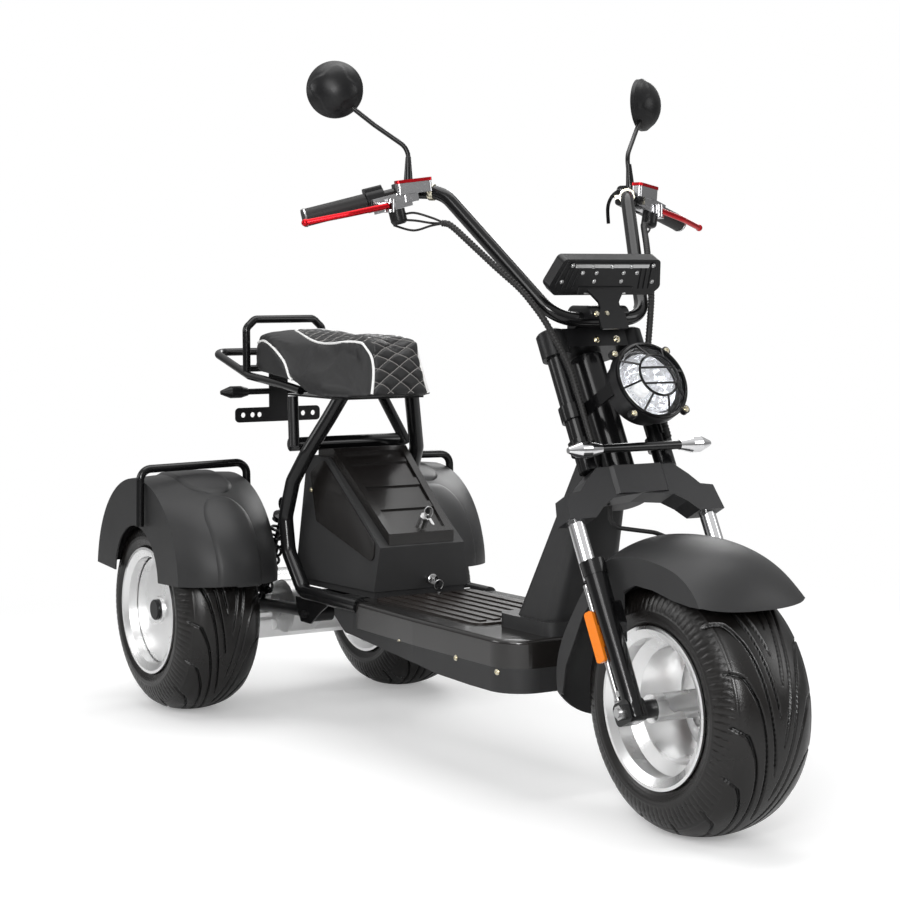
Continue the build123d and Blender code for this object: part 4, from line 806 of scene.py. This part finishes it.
def seat_form():
    """Padded body of the saddle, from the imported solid's mesh to a swollen, finely divided form."""
    seat = add_object("seat_leather", NODES["seat_cushion"].data.copy())
    seat.data.materials.clear()
    remesh = seat.modifiers.new("remesh", "REMESH")
    remesh.mode = "VOXEL"
    remesh.voxel_size = SEAT_VOXEL
    apply_modifiers(seat)
    points = saddle(in_millimetres(read(seat.data.vertices, "co")))
    points[:, 0] += AXLE_X * 1000
    set_points(seat.data, points / 1000)
    smooth = seat.modifiers.new("smooth", "SMOOTH")
    smooth.factor = 0.5
    smooth.iterations = 10
    apply_modifiers(seat)
    points = read(seat.data.vertices, "co")
    normals = read(seat.data.vertex_normals, "vector")
    x, y, z = in_millimetres(points).T
    points -= normals * (SEAT_START * np.clip((normals[:, 2] + 0.75) / 0.4, 0, 1))[:, None]
    hollow = near(x, 340, 150) * near(z, 785, 50) * np.clip((np.abs(normals[:, 1]) - 0.3) / 0.4, 0, 1)
    points[:, 1] -= np.sign(y) * hollow * SIDE_HOLLOW
    set_points(seat.data, points)
    inflate(seat)
    divide = seat.modifiers.new("divide", "SUBSURF")
    divide.levels = divide.render_levels = 1
    apply_modifiers(seat)
    return seat


def seam_path(surface, points, lift):
    """Points of a seam pulled onto the seat and raised a little."""
    out = []
    for point in curve_points(points, 6):
        location, normal = surface.find_nearest(point)[:2]
        out.append(location + normal * lift)
    for turn in range(12):
        out[1:-1] = [(a + b * 2 + c) / 4 for a, b, c in zip(out, out[1:], out[2:])]
    return out


def both_ways(points):
    """A run from the middle outwards on the right, led into by its mirror on the left."""
    return [(x, -y, z) for x, y, z in reversed(points) if abs(y) > 0.01] + points


def quilt(seat, seams):
    """Presses the diamond channels of the panel and the seam lines into the seat."""
    points = read(seat.data.vertices, "co")
    normals = read(seat.data.vertex_normals, "vector")
    x, y, z = in_millimetres(points).T
    run = crease(x, z)
    facing = np.clip((normals[:, 2] + normals[:, 0] - 0.35) / 0.3, 0, 1)
    inside = np.clip((panel_half(run) - np.abs(y)) / 6, 0, 1) * facing
    puff = np.ones_like(run)
    for sign in (-1, 1):
        phase = y / DIAMOND_WIDTH + sign * run / DIAMOND_LENGTH
        away = np.abs(phase - np.round(phase)) * 2
        puff *= 1 - (1 - away) ** 5
    points -= normals * ((1 - puff) * inside * CHANNEL_DEPTH)[:, None]
    points += normals * (inside * PANEL_RISE)[:, None]
    seam_points = [point for path in seams for point in path]
    tree = KDTree(len(seam_points))
    for index, point in enumerate(seam_points):
        tree.insert(point, index)
    tree.balance()
    for index, point in enumerate(zip(x, y, z)):
        distance = tree.find(point)[2]
        if distance < SEAM_WIDTH:
            points[index] -= normals[index] * SEAM_DEPTH * (1 - distance / SEAM_WIDTH) ** 2
    set_points(seat.data, points)


def stitch_lines(surface):
    """Thread paths along the diamond channels, on the pressed surface."""
    paths = []
    slant = Vector((-1, 0, -1)).normalized()
    for sign in (-1, 1):
        for number in range(-16, 17):
            path = []
            for run in np.arange(-430, 124, THREAD_STEP):
                y = DIAMOND_WIDTH * (number - sign * run / DIAMOND_LENGTH)
                if abs(y) > float(panel_half(run)) - 1.5:
                    paths.append(path)
                    path = []
                    continue
                start = Vector((516 + run / 2 + 180, y, 841 - run / 2 + 180))
                location, normal = surface.ray_cast(start, slant)[:2]
                if location is not None:
                    path.append(location + normal * 0.35)
            paths.append(path)
    return [path for path in paths if len(path) > 1]


def make_seat():
    """The saddle: padded leather body, white piping and the quilted panel's pale thread."""
    seat = seat_form()
    surface = surface_tree(seat.data)
    quilt(seat, [seam_path(surface, both_ways(points), 0) for points in (PANEL_EDGE, REAR_SEAM)])
    seat.data.materials.append(MATERIALS["leather"])
    shade_smooth(seat.data)
    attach(seat, "chassis")
    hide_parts("seat_cushion")
    surface = surface_tree(seat.data)
    cord = Shape()
    for points in (PANEL_EDGE, REAR_SEAM):
        cord.tube(seam_path(surface, both_ways(points), 1.2), 2.9, 10)
    finish_piece("seat_piping", cord, "piping", "chassis")
    thread = Shape()
    for path in stitch_lines(surface):
        thread.tube(path, 0.8, 5)
    finish_piece("seat_stitching", thread, "thread", "chassis")


# ---- Headlight ----
def make_headlight():
    """Faceted bowl and central lamp behind the glass, the lamp with a painted glow, and the screws of the
    four ears.
    """
    matrix = place(HEADLIGHT, FORK_X, (0, 1, 0))
    bowl = Shape()
    levels = [(57.0, -10.5), (50.0, -20.0), (41.0, -27.5), (31.0, -33.0), (19.0, -37.0)]
    for low, high in zip(levels[:-1], levels[1:]):
        for index in range(20):
            first, second = (2 * pi * (index + shift) / 20 for shift in (0, 1))
            quad = [polar(low[0], first, low[1]), polar(low[0], second, low[1]),
                    polar(high[0], second, high[1]), polar(high[0], first, high[1])]
            quad.append(sum(quad, Vector()) / 4 + Vector((0, 0, -2.2)))
            bowl.add([matrix @ v for v in quad], [(0, 1, 4), (1, 2, 4), (2, 3, 4), (3, 0, 4)], [0] * 4)
    bowl.lathe(matrix, [(19, -37), (0.01, -39)], 20, 0, caps=False)
    # Central lamp core in slot 1, the material with a painted glow.
    bowl.lathe(matrix, [(15, -37), (15, -31), (12, -27), (0.01, -25.5)], 24, 1, caps=False)
    finish_piece("headlight_bowl", bowl, "bowl lamp", "steering", smooth=False)
    screws = Shape()
    for angle in (47, 137, 227, 317):
        cap_screw(screws, matrix @ polar(81, radians(angle), 2), FORK_X, 4.2, 3.5)
    finish_piece("headlight_screws", screws, "zinc", "steering")


# ---- Display ----
def make_display():
    """Back plate with its bar, ribs and screws, and the screen on the rider's side."""
    turned = place((1236, 0, 972), (0.87, 0, -0.46), (0, 1, 0))
    front = turned.to_3x3() @ UP

    def spot(across, up, out):
        return turned @ Vector((across, up, out))

    back = Shape()
    back.prism(turned, [(-112, -17), (-99, 29), (99, 29), (112, -17), (101, -31), (-101, -31)], 12.6, 14.6,
               bevel=1.2)
    for side in (-1, 1):
        for x in (74, 85, 96):
            back.tube([spot(side * x, -24, 14.6), spot(side * (x - 6), 18, 14.6)], 2.0, 8)
    back.prism(turned, [(-60, -36), (60, -36), (60, -20), (-60, -20)], 12.8, 17, bevel=1.5)
    finish_piece("display_back", back, "satin_black", "steering")
    bright = Shape()
    bright.prism(turned, [(-80, 19), (82, 19), (82, 26), (-80, 26)], 14.4, 17.2, bevel=0.8)
    for x, y in ((-42, 22), (42, 22), (0, 22), (-60, 8), (60, 8), (-30, 8), (30, 8), (-30, -9), (30, -9),
                 (-100, -10), (100, -10), (-88, 24), (90, 24)):
        cap_screw(bright, spot(x, y, 14.4 if abs(y) < 20 else 17), front, 3.0, 2.4)
    bright.tube([spot(-46, -33, 16), spot(46, -33, 16)], 2.2, 8)
    finish_piece("display_screws", bright, "steel", "steering")
    screen = Shape()
    screen.prism(turned, [(-104, -14), (-94, 25), (94, 25), (104, -14), (96, -28), (-96, -28)], -14.2, -12.4)
    finish_piece("display_screen", screen, "screen", "steering")


# ---- Suspension ----
def make_springs():
    """Coil springs over dampers, in place of the plain units."""
    along = (SHOCK_HEAD - SHOCK_FOOT).normalized()
    matrix = place(SHOCK_FOOT, along)
    length = (SHOCK_HEAD - SHOCK_FOOT).length
    turns, steps = 8, 22
    coil = [matrix @ polar(17.2, 2 * pi * index / steps, 40 + (length - 76) * (index / (turns * steps)))
            for index in range(turns * steps + 1)]
    spring = Shape()
    spring.tube(coil, 3.4, 8)
    body = Shape()
    body.lathe(matrix, [(8.6, 0), (8.6, 30), (20.5, 33), (20.5, 38), (10.5, 40), (10.5, length * 0.55),
                        (5.5, length * 0.56), (5.5, length - 36)], 20)
    body.lathe(matrix, [(20.5, length - 36), (20.5, length - 30), (9.5, length - 26), (8.6, length + 8)], 20)
    body.lathe(place(SHOCK_HEAD - Vector((0, 10, 0)), (0, 1, 0)),
               [(13.8, 0), (15, 1.2), (15, 16.8), (13.8, 18)])
    piece = finish_piece("shock_bodies", both_sides(body), "gloss_black", "chassis")
    finish_piece("shock_springs", both_sides(spring), "gloss_black", "chassis")
    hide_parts("shock_absorbers")


# ---- Fenders, footboard and box ----
ROUND_END = 0.3
DECK_BOLTS = ((783, 259), (1002, 250), (1150, 244))


def raised_strip(shape, surface, bearings, half_width, height, y_middle):
    """Thin raised panel with a round end over a fender, followed by angle about the wheel's axis."""
    steps, across = 36, 16
    grid = []
    for step in range(steps + 1):
        share = step / steps
        angle = radians(bearings[0] + (bearings[1] - bearings[0]) * share)
        direction = Vector((cos(angle), 0, sin(angle)))
        left = 1 - share
        shrink = sqrt(max(0.0, 1 - (1 - min(1, left / ROUND_END)) ** 2))
        half = half_width * max(shrink, 0.02)
        row = []
        for index in range(across + 1):
            side = index / across * 2 - 1
            start = Vector((0, y_middle + side * half, WHEEL_Z)) + direction * 500
            location, normal = surface.ray_cast(start, -direction)[:2]
            if location is None:
                location, normal = surface.find_nearest(start - direction * 220)[:2]
            edge = min((1 - abs(side)) * half / 7, left * steps / 3, share * steps / 6)
            rise = height * smooth_step(edge) - 0.5 * (1 - smooth_step(edge * 3))
            row.append(location + normal * float(rise))
        grid.append(row)
    shape.rings(grid, closed=False, caps=False)


def make_fender_panels():
    """Raised tongues on the front and over the top of both rear fenders."""
    surface = surface_tree(NODES["rear_fenders"].data)
    right = Shape()
    raised_strip(right, surface, (8, 59), 53, 3.2, -HALF_TRACK + 2)
    raised_strip(right, surface, (102, 60), 58, 5.0, -HALF_TRACK + 8)
    finish_piece("fender_tongues", both_sides(right), "charcoal", "chassis", sharp=60)


def make_box_details():
    """Bolts of the footboard and the box, and a key with its ring in each lock."""
    bolts = Shape()
    skirt, box = (surface_tree(NODES[node].data) for node in ("deck_skirt", "battery_box"))
    for x, z in DECK_BOLTS:
        for side in (-1, 1):
            cap_screw(bolts, *skirt.find_nearest(Vector((x, side * 200, z)))[:2], 4.2, 3.2)
    for side in (-1, 1):
        cap_screw(bolts, *box.find_nearest(Vector((300, side * 160, 515)))[:2], 4.5, 3.5)
    finish_piece("body_bolts", bolts, "zinc", "chassis")
    ahead = Vector((171, 0, 230)).normalized()
    add_key("lid_key", Vector((545, 20, 445)) + ahead * 28, ahead, 22, "battery_lid")
    add_key("box_key", Vector((592, 20, 338)), Vector((1, 0, 0)), 14, "chassis")


def add_key(name, head, ahead, drop, body):
    """Key in its cylinder: escutcheon, blade, bow with its ring, and a second key hanging from it."""
    shape = Shape()
    side = Vector((0, 1, 0))
    over = ahead.cross(side)
    shape.lathe(place(head, ahead), [(11.5, -3), (11.5, 0.6), (9.5, 2), (3.5, 2)])
    shape.prism(place(head, ahead, over), [(-3.5, -1.0), (3.5, -1.0), (3.5, 1.0), (-3.5, 1.0)], 1.0, 11,
                bevel=0.3)
    shape.prism(place(head + ahead * 18 - side * 1.1, side, over), oval(9, 8, 16), 0, 2.2, 1, bevel=0.5)
    ring_centre = head + ahead * 24 - UP * 9
    shape.tube([ring_centre + ahead * 1.5 * sin(t) + (side * cos(t) + UP * sin(t)) * 10.5
                for t in angles(24) + [2 * pi]], 0.9, 6)
    hang = place(ring_centre - UP * 10, ahead, side)
    shape.prism(hang, [(-3.2, 0), (3.2, 0), (3.2, -drop), (1.0, -drop - 4), (-2.0, -drop - 2), (-3.2, -drop)],
                -0.8, 0.8, bevel=0.2)
    shape.prism(hang, oval(5, 5, 12), -1.2, 1.2, 1, bevel=0.3)
    finish_piece(name, shape, "steel satin_black", body)


# ---- Cockpit ----
def rounded_path(points):
    """Points with each corner turned into a curve that starts a little before it."""
    points = [Vector(point) for point in points]
    out = [points[0]]
    for before, corner, after in zip(points, points[1:], points[2:]):
        first, last = (corner + (end - corner).normalized() * min(24.0, (end - corner).length * 0.45)
                       for end in (before, after))
        for t in (step / 8 for step in range(9)):
            out.append(first * (1 - t) ** 2 + corner * 2 * t * (1 - t) + last * t * t)
    out.append(points[-1])
    return out


def even_points(points, pitch):
    """A path walked again in equal steps."""
    out = [points[0]]
    left = pitch
    for start, end in zip(points, points[1:]):
        length = (end - start).length
        done = 0.0
        while length - done >= left:
            done += left
            out.append(start.lerp(end, done / length))
            left = pitch
        left -= length - done
    return out


def sleeve(shape, points):
    """Corrugated sleeve along a path."""
    path = even_points(rounded_path(points), 1.6)
    shape.tube(path, [5.4 if index % 4 in (1, 2) else 6.3 for index in range(len(path))], 14)


def make_looms():
    """Corrugated cable sleeves down the risers and the thin cables that enter them."""
    sleeves = Shape()
    sleeve(sleeves, [(1058, -235, 1064), (1071, -228, 1063), (1158, -176, 977), (1184, -146, 943),
                     fork(44, -122, 722), fork(LOOM_AHEAD, -86, 634), fork(LOOM_AHEAD, -85, 484)])
    sleeve(sleeves, [(1052, 226, 1066), (1065, 214, 1066), (1126, 176, 1027), (1212, 124, 931),
                     fork(48, 104, 700), fork(LOOM_AHEAD, 86, 634), fork(LOOM_AHEAD, 85, 484)])
    piece = finish_piece("cable_sleeves", sleeves, "rubber", "steering", sharp=80)
    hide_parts("cable_looms")
    cables = Shape()
    ends = [((985, -282, 1079), (1010, -268, 1084), (1040, -246, 1074)),
            ((978, -286, 1072), (1008, -264, 1070), (1036, -246, 1065)),
            ((972, -288, 1062), (1006, -266, 1052), (1040, -248, 1060))]
    for side, mouth in ((1, (1062, -233, 1064)), (-1, (1056, -223, 1066))):
        for row in ends:
            cables.tube([(p.x, p.y * side, p.z) for p in curve_points([*row, mouth])], 2.1, 8)
    finish_piece("thin_cables", cables, "rubber", "steering")


def make_cockpit():
    """Bright rings at the grip ends, clips on the bar, the parking lever and the mirrors' relief."""
    ring = Shape()
    turn = bar_place(1.0) @ Matrix.Rotation(radians(90), 4, "Y")
    ring.lathe(turn, [(13.5, -2), (17.0, -2), (17.5, -1.4), (17.5, 0.6), (17.0, 1.2), (13.5, 1.2)], 28)
    finish_piece("bar_end_rings", both_sides(ring), "chrome", "steering")
    clip = Shape()
    turn = place((1000, -222, 1122.8), (56, 41, -3))
    clip.lathe(turn, [(13.2, -5), (15.2, -5), (15.6, -4.2), (15.6, 4.2), (15.2, 5), (13.2, 5)], 28)
    clip.prism(turn, [(-24, -4), (-14, -4), (-14, 4), (-24, 4)], -5, 5, bevel=1.0)
    finish_piece("bar_clips", both_sides(clip), "zinc", "steering")
    lever = Shape()
    hang = curve_points([(962, 232, 1136), (941, 228, 1124), (931, 226, 1104), (933, 226, 1072)])
    lever.tube(hang, [4.4 if index < 8 else 3.6 for index in range(len(hang))])
    lever.lathe(place((966, 238, 1128), (0, -1, 0)),
                [(0.01, -2), (10, -2), (11, -1), (11, 9), (9, 11), (0.01, 11)])
    finish_piece("parking_lever", lever, "gloss_black", "steering")
    relief = Shape()
    for side in (-1, 1):
        centre, ahead = (Vector((v.x, v.y * -side, v.z)) for v in (MIRROR_CENTRE, MIRROR_AHEAD))
        add_relief(relief, place(centre, ahead, UP), -side)
    finish_piece("mirror_relief", relief, "satin_black", "steering", sharp=50)


def add_relief(shape, matrix, turn_way):
    """Raised four-lobed face on the domed back of a mirror."""
    rings, reach = 26, 49.0
    grid = []
    for level in range(rings + 1):
        radius = reach * level / rings
        dome = -31 + sqrt(61.6 ** 2 - radius ** 2)
        row = []
        for angle in angles(96):
            lobe = 41 + 6.5 * cos(4 * (angle * turn_way) + 0.6)
            rise = 0.4 + 2.4 * float(smooth_step((lobe - radius) / 4.5)) if level < rings else -0.4
            row.append(matrix @ polar(radius, angle, dome + rise))
        grid.append(row)
    shape.rings(grid, caps=False)


def make_front_bolts():
    """Bolts on the bar clamp, the top clamp and the fork lugs."""
    bolts = Shape()
    for y in (-33, -11):
        hex_bolt(bolts, (1256.5, y, 899), (1, 0, 0), 8.5)
    for y in (-22, 22):
        cap_screw(bolts, fork(47, y, 676), FORK_X, 5, 4)
    for side in (-1, 1):
        hex_bolt(bolts, fork(20, side * 150, 185), (0, side, 0), 9)
    finish_piece("clamp_bolts", bolts, "zinc", "steering")


# ---- Whole scene ----
def main():
    """Builds the stage and everything around the frame."""
    bpy.context.scene.view_settings.view_transform = "Standard"
    for build in (make_camera, make_world, make_floor, make_lights, dress_nodes, paint_details, make_tyres,
                  make_seat, make_headlight, make_display, make_springs, make_fender_panels, make_box_details,
                  make_looms, make_cockpit, make_front_bolts):
        build()


main()
